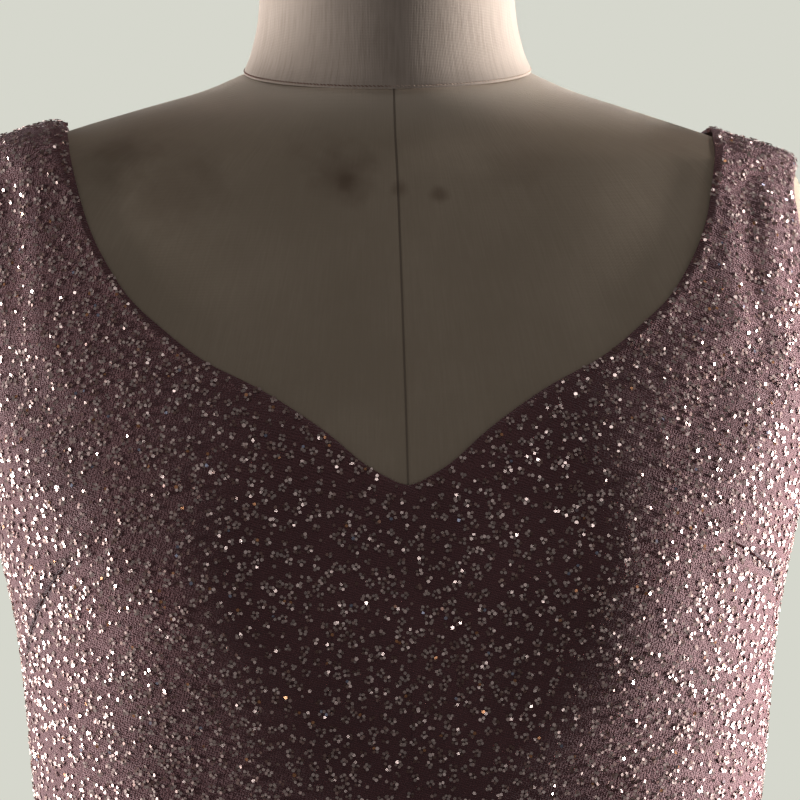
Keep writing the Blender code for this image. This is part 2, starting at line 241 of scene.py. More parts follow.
# -------------------------------------------------------------------- curves
def smooth_curve(xs: Sequence[float], ys: Sequence[float]) -> Curve:
    """Make a smooth curve through points that never overshoots them.

    Args:
        xs: Rising positions of the points.
        ys: Values at those positions.

    Returns:
        A function from an array of positions to an array of values.
    """
    x, y = np.array(xs, float), np.array(ys, float)
    steps = np.diff(x)
    slopes = np.diff(y) / steps
    left, right = slopes[:-1], slopes[1:]
    total = np.where(left * right > 0.0, left + right, 1.0)
    inner = np.where(left * right > 0.0, 2.0 * left * right / total, 0.0)
    tangents = np.concatenate([slopes[:1], inner, slopes[-1:]])

    def value(at: Array) -> Array:
        """Return the curve's values at these positions."""
        at = np.clip(at, x[0], x[-1])
        i = np.clip(np.searchsorted(x, at, side="right") - 1, 0, len(steps) - 1)
        t = (at - x[i]) / steps[i]
        rise = 3.0 * t * t - 2.0 * t ** 3
        start = t * (1.0 - t) ** 2 * steps[i]
        end = t * t * (t - 1.0) * steps[i]
        return y[i] + (y[i + 1] - y[i]) * rise + tangents[i] * start + tangents[i + 1] * end

    return value


def ease(t: Array) -> Array:
    """Return 0 to 1, level at both ends."""
    t = np.clip(t, 0.0, 1.0)
    return t * t * (3.0 - 2.0 * t)


def eased(value: Array, start: float, end: float) -> Array:
    """Return 0 at start and before it to 1 at end and past it, level at both."""
    return ease((value - start) / (end - start))


def hump(away: Array, width: float) -> Array:
    """Return 1 at no distance, dying away over this width."""
    return np.exp(-(away / width) ** 2)


def angle_between(deg: Array, other: Array) -> Array:
    """Return the angle from other to deg, -180 to 180."""
    return (deg - other + 180.0) % 360.0 - 180.0


def unit(vectors: Array) -> Array:
    """Return the vectors with a length of 1."""
    return vectors / np.maximum(np.linalg.norm(vectors, axis=-1, keepdims=True), 1e-12)


def distance_to_line(points: Array, line: Array) -> tuple[Array, Array]:
    """Measure how far points are from a line of straight runs.

    Args:
        points: The points, one a row.
        line: The line's corners, one a row.

    Returns:
        Each point's distance, and how far along the line its nearest place is.
    """
    best = np.full(len(points), np.inf)
    along = np.zeros(len(points))
    reach = 0.0
    for a, b in zip(line, line[1:]):
        run = b - a
        length = float(np.linalg.norm(run))
        if length < 1e-9:
            continue
        t = np.clip((points - a) @ run / length ** 2, 0.0, 1.0)
        away = np.linalg.norm(points - a - t[:, None] * run, axis=1)
        nearer = away < best
        best = np.where(nearer, away, best)
        along = np.where(nearer, reach + t * length, along)
        reach += length
    return best, along


class Body:
    """The surface on which the cloth lies, as the part's source has it."""

    def __init__(self) -> None:
        """Set up the smooth curves through the body's sections."""
        zs = [row.z for row in BODY]

        def column(name: str) -> Curve:
            """Return the smooth curve of one column."""
            return smooth_curve(zs, [getattr(row, name) for row in BODY])

        self.half_width = column("half_width")
        self.front, self.back = column("front"), column("back")
        self.front_power, self.back_power = column("front_power"), column("back_power")

    def fold_height(self, deg: Array, z: Array) -> Array:
        """Return how far the skirt's folds stand out at these places."""
        height = np.zeros(np.shape(deg))
        for fold in FOLDS:
            reach = angle_between(deg, fold.deg) / fold.spread_deg
            height += fold.depth * eased(z, fold.top_z, HEM_Z) * np.exp(-reach * reach)
        return height

    def bust_height(self, deg: Array, z: Array) -> Array:
        """Return the fullness of the bust at these places."""
        level = (z - BUST_Z) / BUST_SPREAD_Z
        height = np.zeros(np.shape(deg))
        for apex in (-BUST_DEG, BUST_DEG - 180.0):
            reach = angle_between(deg, apex) / BUST_SPREAD_DEG
            height += BUST_FULLNESS * np.exp(-reach * reach - level * level)
        return height

    @staticmethod
    def shoulder_rise(x: Array, z: Array) -> Array:
        """Return how much higher the body is here than its section."""
        level = eased(z, SHRUG_FROM_Z, SHRUG_FULL_Z)
        rise = np.zeros(np.shape(x))
        for shrug in SHRUGS:
            rise += shrug.rise * level * eased(shrug.side * x, SHRUG_FROM_X, SHRUG_FULL_X)
        return rise

    def point(self, deg: Array, z: Array) -> Array:
        """Return the points of the cloth's inside.

        Args:
            deg: Angles round the body.
            z: Section heights.

        Returns:
            One point a row, in metres.
        """
        deg, z = np.broadcast_arrays(np.asarray(deg, float), np.asarray(z, float))
        across, along = np.cos(np.radians(deg)), np.sin(np.radians(deg))
        ahead = along < 0.0
        depth = np.where(ahead, self.front(z), self.back(z))
        power = np.where(ahead, self.front_power(z), self.back_power(z))
        round_sum = np.abs(across / self.half_width(z)) ** power + np.abs(along / depth) ** power
        radius = round_sum ** (-1.0 / power) + self.fold_height(deg, z) + self.bust_height(deg, z)
        x, y = radius * across, radius * along
        lean = NECK_LEAN * eased(z, NECK_LEAN_FROM_Z, NECK_SEAM_Z)
        return np.stack([x, y, z + lean * y + self.shoulder_rise(x, z)], axis=-1)

    def normal(self, deg: Array, z: Array) -> Array:
        """Return the outward directions of the cloth at these places."""
        deg, z = np.broadcast_arrays(np.asarray(deg, float), np.asarray(z, float))
        turn, rise = 0.4, 0.0006   # half the steps that the slopes are read over
        high = np.minimum(z + rise, NECK_SEAM_Z)
        along = self.point(deg + turn, z) - self.point(deg - turn, z)
        up = self.point(deg, high) - self.point(deg, z - rise)
        return unit(np.cross(along, up))

    def edge_angle(self, x: float, z: float, way: int) -> float:
        """Return the angle from the side seam of the point at this x and z.

        Args:
            x: Distance from the centre line.
            z: Section height.
            way: -1 on the front of the body and 1 on its back.

        Returns:
            The angle in degrees.
        """
        curves = (self.front, self.front_power) if way < 0 else (self.back, self.back_power)
        depth, power = (float(curve(z)) for curve in curves)
        share = min(x / float(self.half_width(z)), 1.0)
        y = depth * (1.0 - share ** power) ** (1.0 / power)
        return math.degrees(math.atan2(y, x))


BODY_SHAPE = Body()


# ------------------------------------------------------------------- objects
def clear_slots(item: Piece, material: Material) -> None:
    """Give an object one material in place of those it has."""
    item.data.materials.clear()
    item.data.materials.append(material)


def finish_piece(name: str, mesh: Mesh, material: Material, slot: str, nodes: Sequence[str] = ()) -> Piece:
    """Make a mesh a piece of the object.

    Args:
        name: The piece's name.
        mesh: Its mesh, in place in the row frame.
        material: Its finish.
        slot: The name of its material slot, which is only logged.
        nodes: CAD nodes that it stands for.

    Returns:
        The new object.
    """
    piece = bpy.data.objects.new(name, mesh)
    bpy.context.scene.collection.objects.link(piece)
    mesh.name = name
    clear_slots(piece, material)
    mesh.shade_smooth()
    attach(piece, "root")
    if nodes:
        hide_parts(*nodes)
    LOG.info("%s: %d faces, %s", name, len(mesh.polygons), slot)
    return piece


def grid_mesh(columns: int, rows: int, place: Surface) -> BMesh:
    """Make a grid and move each of its points to its place.

    Args:
        columns: Faces across.
        rows: Faces up.
        place: Gives the points for arrays of column and row numbers.

    Returns:
        The mesh, its UVs running from 0 to 1 across and up.
    """
    mesh = bmesh.new()
    mesh.loops.layers.uv.new("UVMap")
    bmesh.ops.create_grid(mesh, x_segments=columns, y_segments=rows, size=1.0, calc_uvs=True)
    spots = np.array([vert.co for vert in mesh.verts])
    column = np.rint((spots[:, 0] + 1.0) * 0.5 * columns).astype(int)
    row = np.rint((spots[:, 1] + 1.0) * 0.5 * rows).astype(int)
    for vert, point in zip(mesh.verts, place(column, row)):
        vert.co = point
    return mesh


def grid_corners(mesh: BMesh, columns: int, rows: int) -> Iterator[tuple[bmesh.types.BMLoop, int, int]]:
    """Yield each face corner of a new grid with its column and row number.

    Args:
        mesh: A mesh from grid_mesh.
        columns: Its faces across.
        rows: Its faces up.

    Yields:
        The face corner, its column and its row.
    """
    uv = mesh.loops.layers.uv["UVMap"]
    for face in mesh.faces:
        for loop in face.loops:
            yield loop, int(round(loop[uv].uv.x * columns)), int(round(loop[uv].uv.y * rows))


def to_mesh(source: BMesh, name: str) -> Mesh:
    """Turn a bmesh into a mesh and free it."""
    mesh = bpy.data.meshes.new(name)
    source.to_mesh(mesh)
    source.free()
    return mesh


def add_part(whole: BMesh, part: BMesh) -> None:
    """Add one bmesh to another and free it."""
    mesh = to_mesh(part, "part")
    whole.from_mesh(mesh)
    bpy.data.meshes.remove(mesh)


# -------------------------------------------------------------- node helpers
class Graph:
    """Adds nodes to a tree and links them."""

    def __init__(self, tree: NodeTree) -> None:
        """Start on a node tree."""
        self.tree = tree

    def node(self, kind: str, **settings: object) -> Node:
        """Add a node and set its properties."""
        made = self.tree.nodes.new(kind)
        for key, value in settings.items():
            setattr(made, key, value)
        return made

    def feed(self, socket: Socket, value: object) -> None:
        """Link a socket to an input, or set the input's value."""
        if isinstance(value, Socket):
            self.tree.links.new(value, socket)
        elif isinstance(value, tuple) and len(value) == 3 and socket.type == "RGBA":
            socket.default_value = (*value, 1.0)
        else:
            socket.default_value = value

    def fill(self, made: Node, **values: object) -> None:
        """Feed a node's inputs, underscores standing for spaces in their names."""
        for key, value in values.items():
            self.feed(made.inputs[key.replace("_", " ")], value)

    def maths(self, operation: str, *values: object) -> Socket:
        """Add a Math node and return its result."""
        made = self.node("ShaderNodeMath", operation=operation)
        for socket, value in zip(made.inputs, values):
            self.feed(socket, value)
        return made.outputs[0]

    def plus(self, first: object, second: object) -> Socket:
        """Add two values."""
        return self.maths("ADD", first, second)

    def minus(self, first: object, second: object) -> Socket:
        """Take the second value from the first."""
        return self.maths("SUBTRACT", first, second)

    def times(self, first: object, second: object) -> Socket:
        """Multiply two values."""
        return self.maths("MULTIPLY", first, second)

    def place(self) -> Socket:
        """Return the place on the object."""
        return self.node("ShaderNodeTexCoord").outputs["Object"]

    def flat(self) -> Socket:
        """Return the place on the flat cut."""
        return self.node("ShaderNodeUVMap", uv_map="UVMap").outputs[0]

    def parts(self, vector: object) -> Sequence[Socket]:
        """Return a vector's three numbers."""
        made = self.node("ShaderNodeSeparateXYZ")
        self.feed(made.inputs[0], vector)
        return made.outputs

    def stretched(self, vector: object, factors: tuple[float, float, float]) -> Socket:
        """Multiply a vector's three numbers by these factors."""
        made = self.node("ShaderNodeVectorMath", operation="MULTIPLY")
        self.feed(made.inputs[0], vector)
        made.inputs[1].default_value = factors
        return made.outputs[0]

    def mix(self, share: object, low: object, high: object, blend: str = "MIX") -> Socket:
        """Mix two colours and return the result."""
        made = self.node("ShaderNodeMix", data_type="RGBA", blend_type=blend, clamp_factor=True)
        self.feed(made.inputs["Factor"], share)
        self.feed(made.inputs[6], low)
        self.feed(made.inputs[7], high)
        return made.outputs[2]

    def noise(self, vector: object, scale: float, detail: float = 2.0, roughness: float = 0.5) -> Socket:
        """Add a Noise texture and return its value."""
        made = self.node("ShaderNodeTexNoise")
        self.fill(made, Vector=vector, Scale=scale, Detail=detail, Roughness=roughness)
        return made.outputs[0]

    def ramp(self, value: object, low: float, high: float, start: float = 0.0, end: float = 1.0) -> Socket:
        """Map a value from low..high to start..end, held at both ends."""
        made = self.node("ShaderNodeMapRange", interpolation_type="SMOOTHSTEP")
        for socket, setting in zip(made.inputs[:5], (value, low, high, start, end)):
            self.feed(socket, setting)
        return made.outputs[0]

    def attribute(self, name: str) -> Socket:
        """Read a number stored on the mesh."""
        return self.node("ShaderNodeAttribute", attribute_name=name).outputs["Fac"]

    def bump(self, height: object, distance: float, strength: float = 1.0, under: object = None) -> Socket:
        """Add a Bump node and return its normal."""
        made = self.node("ShaderNodeBump")
        self.fill(made, Strength=strength, Distance=distance, Height=height)
        if under is not None:
            self.feed(made.inputs["Normal"], under)
        return made.outputs[0]


def new_group(name: str, inputs: dict[str, tuple[str, object]], outputs: dict[str, str]) -> NodeTree:
    """Make an empty shader node group with named sockets.

    Args:
        name: The group's name.
        inputs: Each input's socket type and default value.
        outputs: Each output's socket type.

    Returns:
        The group's tree, with its Group Input and Group Output nodes.
    """
    tree = bpy.data.node_groups.new(name, "ShaderNodeTree")
    for label, (kind, value) in inputs.items():
        socket = tree.interface.new_socket(label, in_out="INPUT", socket_type=kind)
        if value is not None:
            socket.default_value = value
    for label, kind in outputs.items():
        tree.interface.new_socket(label, in_out="OUTPUT", socket_type=kind)
    tree.nodes.new("NodeGroupInput")
    tree.nodes.new("NodeGroupOutput")
    return tree


class SharedEffects:
    """Node groups that several finishes use, each built once."""

    def __init__(self) -> None:
        """Build every group."""
        self.weave = self._weave()
        self.mottle = self._mottle()

    @staticmethod
    def _weave() -> NodeTree:
        """Build crossed fine lines, for a knit or a plain weave."""
        tree = new_group(
            "crossed threads",
            {
                "Vector": ("NodeSocketVector", None),
                "Pitch Along": ("NodeSocketFloat", 0.001),
                "Pitch Across": ("NodeSocketFloat", 0.001),
                "Crossing": ("NodeSocketFloat", 0.5),
                "Unevenness": ("NodeSocketFloat", 0.3),
            },
            {"Height": "NodeSocketFloat", "Slub": "NodeSocketFloat"},
        )
        g = Graph(tree)
        start, end = tree.nodes["Group Input"], tree.nodes["Group Output"]
        parts = g.parts(start.outputs["Vector"])
        wander = g.noise(start.outputs["Vector"], 260.0, 2.0)
        wander = g.times(g.minus(wander, 0.5), start.outputs["Unevenness"])
        waves = []
        for way, pitch in ((0, "Pitch Along"), (1, "Pitch Across")):
            turns = g.plus(g.maths("DIVIDE", parts[way], start.outputs[pitch]), wander)
            waves.append(g.maths("MULTIPLY_ADD", g.maths("SINE", g.times(turns, math.tau)), 0.5, 0.5))
        along = g.times(waves[0], start.outputs["Crossing"])
        across = g.times(waves[1], g.minus(1.0, start.outputs["Crossing"]))
        g.feed(end.inputs["Height"], g.plus(along, across))
        drawn = g.stretched(start.outputs["Vector"], (1.0, 0.06, 1.0))
        g.feed(end.inputs["Slub"], g.noise(drawn, 900.0, 3.0, 0.6))
        return tree

    @staticmethod
    def _mottle() -> NodeTree:
        """Build soft uneven patches, for fading and handling marks."""
        tree = new_group(
            "soft patches",
            {"Vector": ("NodeSocketVector", None), "Size": ("NodeSocketFloat", 0.03)},
            {"Patches": "NodeSocketFloat"},
        )
        g = Graph(tree)
        start, end = tree.nodes["Group Input"], tree.nodes["Group Output"]
        scaled = g.node("ShaderNodeVectorMath", operation="SCALE")
        g.feed(scaled.inputs[0], start.outputs["Vector"])
        g.feed(scaled.inputs["Scale"], g.maths("DIVIDE", 1.0, start.outputs["Size"]))
        g.feed(end.inputs["Patches"], g.noise(scaled.outputs[0], 1.0, 4.0, 0.55))
        return tree


def new_material(name: str) -> tuple[Material, Graph, Node]:
    """Make a material and return it with its graph and its shader."""
    material = bpy.data.materials.new(name)
    material.use_nodes = True
    return material, Graph(material.node_tree), material.node_tree.nodes["Principled BSDF"]


def place_group(graph: Graph, tree: NodeTree, **values: object) -> Node:
    """Add a group node, feed its inputs and return it."""
    made = graph.node("ShaderNodeGroup", node_tree=tree)
    graph.fill(made, **values)
    return made


# ------------------------------------------------------------------ finishes
@dataclass(frozen=True)
class KnitFinish:
    """Dusty mauve knit, seen between the sequins, with painted shade in its hollows and along its darts."""

    ground: Colour = (0.222, 0.095, 0.102)
    # The hollow colour is painted shade for the hollows between the knit's ribs.
    hollow_shade: Colour = (0.150, 0.060, 0.063)
    turned_edge: Colour = (0.215, 0.094, 0.096)
    # The fold colour is painted shade, for the darts' lines and puckers and the dark ridges along them.
    fold: Colour = (0.030, 0.012, 0.013)
    roughness: float = 0.75
    sheen: float = 0.4
    sheen_tint: Colour = (1.0, 0.74, 0.79)
    rib_pitch: float = 0.00090
    rib_angle: float = 16.0        # degrees, on the flat cut
    turning: float = 0.0105        # from a free edge to its stitch line
    turning_fade: float = 0.0012
    stitch_width: float = 0.0011
    dart_width: float = 0.0022
    pucker_width: float = 0.0060
    patch_size: float = 0.05

    def build(self, effects: SharedEffects) -> Material:
        """Return the material.

        Args:
            effects: The shared node groups.

        Returns:
            The knit's material.
        """
        material, g, shader = new_material("mauve sequin knit")
        flat = g.flat()
        turned = g.node("ShaderNodeMapping")
        g.feed(turned.inputs["Vector"], flat)
        turned.inputs["Rotation"].default_value = (0.0, 0.0, math.radians(self.rib_angle))
        weave = place_group(
            g, effects.weave, Vector=turned.outputs[0], Pitch_Along=self.rib_pitch * 1.15,
            Pitch_Across=self.rib_pitch, Crossing=0.35, Unevenness=1.0,
        )
        patches = place_group(g, effects.mottle, Vector=flat, Size=self.patch_size)
        # Painted shade: the knit is darker where its ribs sink.
        colour = g.mix(g.ramp(weave.outputs["Height"], 0.25, 0.9), self.hollow_shade, self.ground)
        shade = g.ramp(patches.outputs["Patches"], 0.3, 0.7, 0.88, 1.08)
        edge = g.attribute("edge_distance")
        doubled = g.ramp(edge, self.turning, self.turning + self.turning_fade, 0.25, 0.0)
        colour = g.mix(doubled, colour, self.turned_edge)
        tint = g.node("ShaderNodeCombineColor")
        for socket in tint.inputs:
            g.feed(socket, shade)
        colour = g.mix(1.0, colour, tint.outputs[0], "MULTIPLY")
        g.fill(
            shader, Roughness=self.roughness, Sheen_Weight=self.sheen, Sheen_Roughness=0.5,
            Sheen_Tint=self.sheen_tint, Specular_IOR_Level=0.25,
        )
        dart = g.maths("ABSOLUTE", g.attribute("dart_side"))
        share = g.attribute("dart_share")
        # Painted shade: a dark line along each dart and a broad soft shade round it; the line also sinks the
        # bump.
        dart_groove_and_shade = g.times(g.ramp(dart, 0.0008, self.dart_width, 1.0, 0.0), share)
        pucker_shade = g.times(g.ramp(dart, 0.0010, self.pucker_width, 0.40, 0.0), share)
        g.feed(shader.inputs["Base Color"], g.mix(g.maths("MAXIMUM", dart_groove_and_shade, pucker_shade), colour, self.fold))
        stitch = g.maths("ABSOLUTE", g.minus(edge, self.turning))
        groove = g.minus(g.ramp(stitch, 0.0, self.stitch_width, -1.0, 0.0), g.times(dart_groove_and_shade, 4.0))
        soft = g.bump(groove, 0.00012, 0.8)
        fibres = g.ramp(g.noise(g.stretched(turned.outputs[0], (0.75, 1.0, 1.0)), 1250.0, 2.0), 0.34, 0.66)
        height = g.maths("MULTIPLY_ADD", weave.outputs["Height"], 0.7, fibres)
        g.feed(shader.inputs["Normal"], g.bump(height, 0.00050, 1.0, soft))
        return material


@dataclass(frozen=True)
class SequinFinish:
    """Tiny smoky sequins: most are dim, some catch the light.

    Each has a tone of its own: 0 to 1 from dim to bright, past amber_from and
    blue_from a colour, and below 0 for the dark eye of a cluster.
    """

    eye: Colour = (0.045, 0.026, 0.025)
    dim: Colour = (0.20, 0.115, 0.100)
    bright: Colour = (0.95, 0.75, 0.70)
    amber: Colour = (0.80, 0.38, 0.20)
    blue: Colour = (0.52, 0.54, 0.70)
    tint: Colour = (1.0, 0.74, 0.66)
    amber_from: float = 0.979
    blue_from: float = 0.993

    def build(self) -> Material:
        """Return the material."""
        material, g, shader = new_material("smoky silver sequin")
        tone = g.attribute("tone")
        colour = g.mix(g.ramp(tone, 0.0, 1.0), self.dim, self.bright)
        colour = g.mix(g.ramp(tone, self.amber_from, self.amber_from + 0.002), colour, self.amber)
        colour = g.mix(g.ramp(tone, self.blue_from, self.blue_from + 0.002), colour, self.blue)
        colour = g.mix(g.ramp(tone, -0.6, -0.4, 1.0, 0.0), colour, self.eye)
        g.fill(
            shader, Base_Color=colour, Roughness=g.ramp(tone, 0.45, 0.85, 0.36, 0.17),
            Metallic=g.ramp(tone, 0.45, 0.85, 0.25, 0.65), Specular_Tint=self.tint,
        )
        return material


class Spot(NamedTuple):
    """A stain on the linen: its middle, its radius and how dark it is."""

    x: float
    y: float
    z: float
    radius: float
    depth: float


@dataclass(frozen=True)
class LinenFinish:
    """Drawn linen with uneven threads and marks of age, painted shade in the hollows of its weave and painted
    light above a given height.
    """

    name: str
    light: Colour
    dark: Colour
    mark: Colour = (0.12, 0.066, 0.038)
    seam: Colour = (0.075, 0.055, 0.045)
    seam_width: float = 0.0
    # The pale colour is painted light, laid over the linen above a height.
    pale: Colour = (0.84, 0.72, 0.61)
    painted_light_from: float = 2.0         # the height above which painted light makes the linen paler
    painted_light_rise: float = 0.028
    slub_share: float = 0.35
    pitch_along: float = 0.00062
    pitch_across: float = 0.00058
    patch_size: float = 0.045
    spots: tuple[Spot, ...] = ()

    def build(self, effects: SharedEffects) -> Material:
        """Return the material.

        Args:
            effects: The shared node groups.

        Returns:
            The linen's material.
        """
        material, g, shader = new_material(self.name)
        flat = g.flat()
        place = g.place()
        weave = place_group(
            g, effects.weave, Vector=flat, Pitch_Along=self.pitch_along, Pitch_Across=self.pitch_across,
            Crossing=0.5, Unevenness=0.55,
        )
        patches = place_group(g, effects.mottle, Vector=place, Size=self.patch_size)
        share = g.times(patches.outputs["Patches"], 0.7)
        share = g.plus(share, g.times(weave.outputs["Slub"], self.slub_share))
        colour = g.mix(g.ramp(share, 0.35, 1.0), self.dark, self.light)
        # Painted shade: the linen is darker in the hollows between its threads.
        hollow_shade = g.times(g.minus(1.0, weave.outputs["Height"]), 0.22)
        colour = g.mix(hollow_shade, colour, self.dark)
        parts = g.parts(place)
        # Painted light: the linen turns paler towards the neck.
        painted_light = g.ramp(parts[2], self.painted_light_from, self.painted_light_from + self.painted_light_rise, 0.0, 0.42)
        colour = g.mix(painted_light, colour, self.pale)
        for spot in self.spots:
            gap = g.node("ShaderNodeVectorMath", operation="DISTANCE")
            g.feed(gap.inputs[0], place)
            gap.inputs[1].default_value = spot[:3]
            rough = g.times(g.minus(g.noise(place, 110.0, 3.0), 0.5), spot.radius * 1.1)
            ragged = g.plus(gap.outputs["Value"], rough)
            colour = g.mix(g.ramp(ragged, 0.0, spot.radius * 1.3, spot.depth, 0.0), colour, self.mark)
        if self.seam_width:
            away = g.maths("ABSOLUTE", parts[0])
            line = g.ramp(away, self.seam_width * 0.4, self.seam_width, 0.55, 0.0)
            colour = g.mix(line, colour, self.seam)
        threads = g.times(weave.outputs["Height"], 0.5)
        height = g.maths("MULTIPLY_ADD", weave.outputs["Slub"], 0.9, threads)
        g.fill(
            shader, Base_Color=colour, Roughness=0.88, Specular_IOR_Level=0.2, Sheen_Weight=0.12,
            Normal=g.bump(height, 0.00014, 0.7),
        )
        return material


@dataclass(frozen=True)
class ThreadFinish:
    """Sewing thread, pale towards +X and rusty towards -X."""

    name: str = "linen thread"
    pale: Colour = (0.78, 0.62, 0.52)
    rusty: Colour = (0.26, 0.14, 0.11)
    gloss: float = 0.25

    def build(self) -> Material:
        """Return the material."""
        material, g, shader = new_material(self.name)
        place = g.place()
        colour = g.mix(g.ramp(g.parts(place)[0], -0.006, 0.003), self.rusty, self.pale)
        shade = g.noise(place, 900.0, 2.0)
        colour = g.mix(g.times(shade, 0.5), colour, self.rusty)
        g.fill(shader, Base_Color=colour, Roughness=0.7, Specular_IOR_Level=self.gloss)
        return material


@dataclass(frozen=True)
class WoodFinish:
    """Satin varnished beech with its flecks along the grain."""

    light: Colour = (0.56, 0.40, 0.25)
    dark: Colour = (0.36, 0.22, 0.12)
    grain: tuple[float, float, float] = (1.0, 9.0, 9.0)   # long along X
    patch_size: float = 0.02

    def build(self, effects: SharedEffects) -> Material:
        """Return the material.

        Args:
            effects: The shared node groups.

        Returns:
            The wood's material.
        """
        material, g, shader = new_material("satin beech")
        place = g.place()
        along = g.stretched(place, self.grain)
        rings = g.noise(along, 12.0, 5.0, 0.6)
        fleck = g.noise(along, 110.0, 2.0, 0.6)
        share = g.plus(g.times(rings, 0.75), g.times(fleck, 0.35))
        colour = g.mix(g.ramp(share, 0.35, 0.75), self.dark, self.light)
        patches = place_group(g, effects.mottle, Vector=place, Size=self.patch_size)
        g.fill(
            shader, Base_Color=colour, Roughness=g.ramp(patches.outputs["Patches"], 0.3, 0.7, 0.30, 0.45),
            Coat_Weight=0.25, Normal=g.bump(fleck, 0.0002, 0.5),
        )
        return material


@dataclass(frozen=True)
class SteelFinish:
    """Satin black paint on steel, rubbed a little."""

    paint: Colour = (0.018, 0.018, 0.019)
    rubbed: Colour = (0.060, 0.058, 0.056)
    patch_size: float = 0.03

    def build(self, effects: SharedEffects) -> Material:
        """Return the material.

        Args:
            effects: The shared node groups.

        Returns:
            The painted steel's material.
        """
        material, g, shader = new_material("satin black steel")
        place = g.place()
        patches = place_group(g, effects.mottle, Vector=place, Size=self.patch_size).outputs["Patches"]
        colour = g.mix(g.ramp(patches, 0.52, 0.75), self.paint, self.rubbed)
        g.fill(
            shader, Base_Color=colour, Roughness=g.ramp(patches, 0.3, 0.7, 0.30, 0.48), Metallic=0.4,
            Normal=g.bump(g.noise(place, 1400.0, 2.0), 0.00008, 0.5),
        )
        return material


# --------------------------------------------------------------------- dress
class Side(Enum):
    """The two panels of the dress."""

    FRONT = -1
    BACK = 1


LINE_STEPS = 24        # points on the smooth run of a crease or dart
CREASE_REACH = 4.0     # how many widths away a crease is still felt
CREASE_TAPER = 0.8     # how bluntly its two ends die away
RIDGE_BESIDE = 0.35    # the low ridge on each side, as a share of its depth


@dataclass(frozen=True)
class Crease:
    """A soft trough (depth above 0) or ridge (below 0) in the cloth.

    Its line runs through (angle, height) places, deepest at `peak` of its
    length from the first of them.
    """

    places: tuple[tuple[float, float], ...]
    depth: float
    width: float
    peak: float = 0.5

    def line(self) -> Array:
        """Return points along its smooth run over the body."""
        deg, z = np.array(self.places).T
        at, fine = np.linspace(0.0, 1.0, len(deg)), np.linspace(0.0, 1.0, LINE_STEPS)
        return BODY_SHAPE.point(smooth_curve(at, deg)(fine), smooth_curve(at, z)(fine))

    def lift(self, points: Array) -> Array:
        """Return how far it pushes each point outwards."""
        z = np.array([place[1] for place in self.places])
        near = np.abs(points[:, 2] - z.mean()) < (z.max() - z.min()) * 0.5 + CREASE_REACH * self.width
        away, along = distance_to_line(points[near], self.line())
        share = along / max(along.max(), 1e-6)
        warp = share ** (math.log(0.5) / math.log(self.peak))
        fade = np.sin(math.pi * np.clip(warp, 0.0, 1.0)) ** CREASE_TAPER
        trough = hump(away, self.width) - RIDGE_BESIDE * hump(away - 2.0 * self.width, self.width)
        lift = np.zeros(len(points))
        lift[near] = -self.depth * fade * trough
        return lift


# Sewn bust darts, from the side in to their soft tips.
DARTS = tuple(Crease(*row) for row in (
    (((-12.0, 1.223), (-21.8, 1.2454), (-26.6, 1.2501), (-33.4, 1.258), (-36.5, 1.2612)),
     0.0011, 0.0024, 0.55),
    (((-168.5, 1.212), (-156.2, 1.2374), (-153.7, 1.2417), (-148.4, 1.2523), (-142.4, 1.264)),
     0.0011, 0.0024, 0.55),
))
# Puckers at the dart tips, drag lines from the straps and folds in them.
FRONT_CREASES = DARTS + tuple(Crease(*row) for row in (
    (((-34.0, 1.257), (-37.5, 1.259)), 0.0016, 0.004),
    (((-143.0, 1.261), (-139.5, 1.265)), 0.0012, 0.004),
    (((-8.5, 1.413), (-14.5, 1.404), (-19.5, 1.38), (-23.5, 1.3474), (-25.0, 1.315)), 0.0013, 0.0058, 0.35),
    (((-176.0, 1.413), (-169.0, 1.402), (-164.0, 1.378), (-160.0, 1.348), (-156.0, 1.315)),
     0.001, 0.0058, 0.35),
    (((-17.0, 1.352), (-30.0, 1.327), (-42.0, 1.299)), 0.0009, 0.007),
    (((-163.0, 1.342), (-152.0, 1.315), (-140.0, 1.293)), 0.0008, 0.0075),
    (((-16.5, 1.324), (-27.0, 1.302), (-38.0, 1.283)), -0.0008, 0.007),
    (((-164.0, 1.32), (-156.0, 1.296), (-146.0, 1.276)), -0.0008, 0.007),
    (((-12.0, 1.288), (-20.0, 1.27), (-30.0, 1.257)), 0.0008, 0.006),
    (((-168.0, 1.29), (-160.0, 1.274), (-150.0, 1.262)), 0.0008, 0.006),
    (((-70.0, 1.201), (-90.0, 1.19), (-112.0, 1.2)), 0.0007, 0.011),
    (((-40.0, 1.19), (-60.0, 1.16), (-80.0, 1.145)), 0.0008, 0.012),
    (((-140.0, 1.185), (-122.0, 1.158), (-100.0, 1.148)), 0.0008, 0.012),
    (((-12.0, 1.095), (-35.0, 1.076), (-60.0, 1.082)), 0.0014, 0.009),
    (((-168.0, 1.09), (-145.0, 1.07), (-118.0, 1.077)), 0.0014, 0.009),
    (((-15.0, 1.06), (-42.0, 1.048), (-70.0, 1.056)), 0.0012, 0.009),
    (((-164.0, 1.056), (-136.0, 1.043), (-108.0, 1.052)), 0.0012, 0.009),
    (((-30.0, 1.02), (-60.0, 1.008)), 0.0009, 0.011),
    (((-150.0, 1.024), (-122.0, 1.013)), 0.0009, 0.011),
))
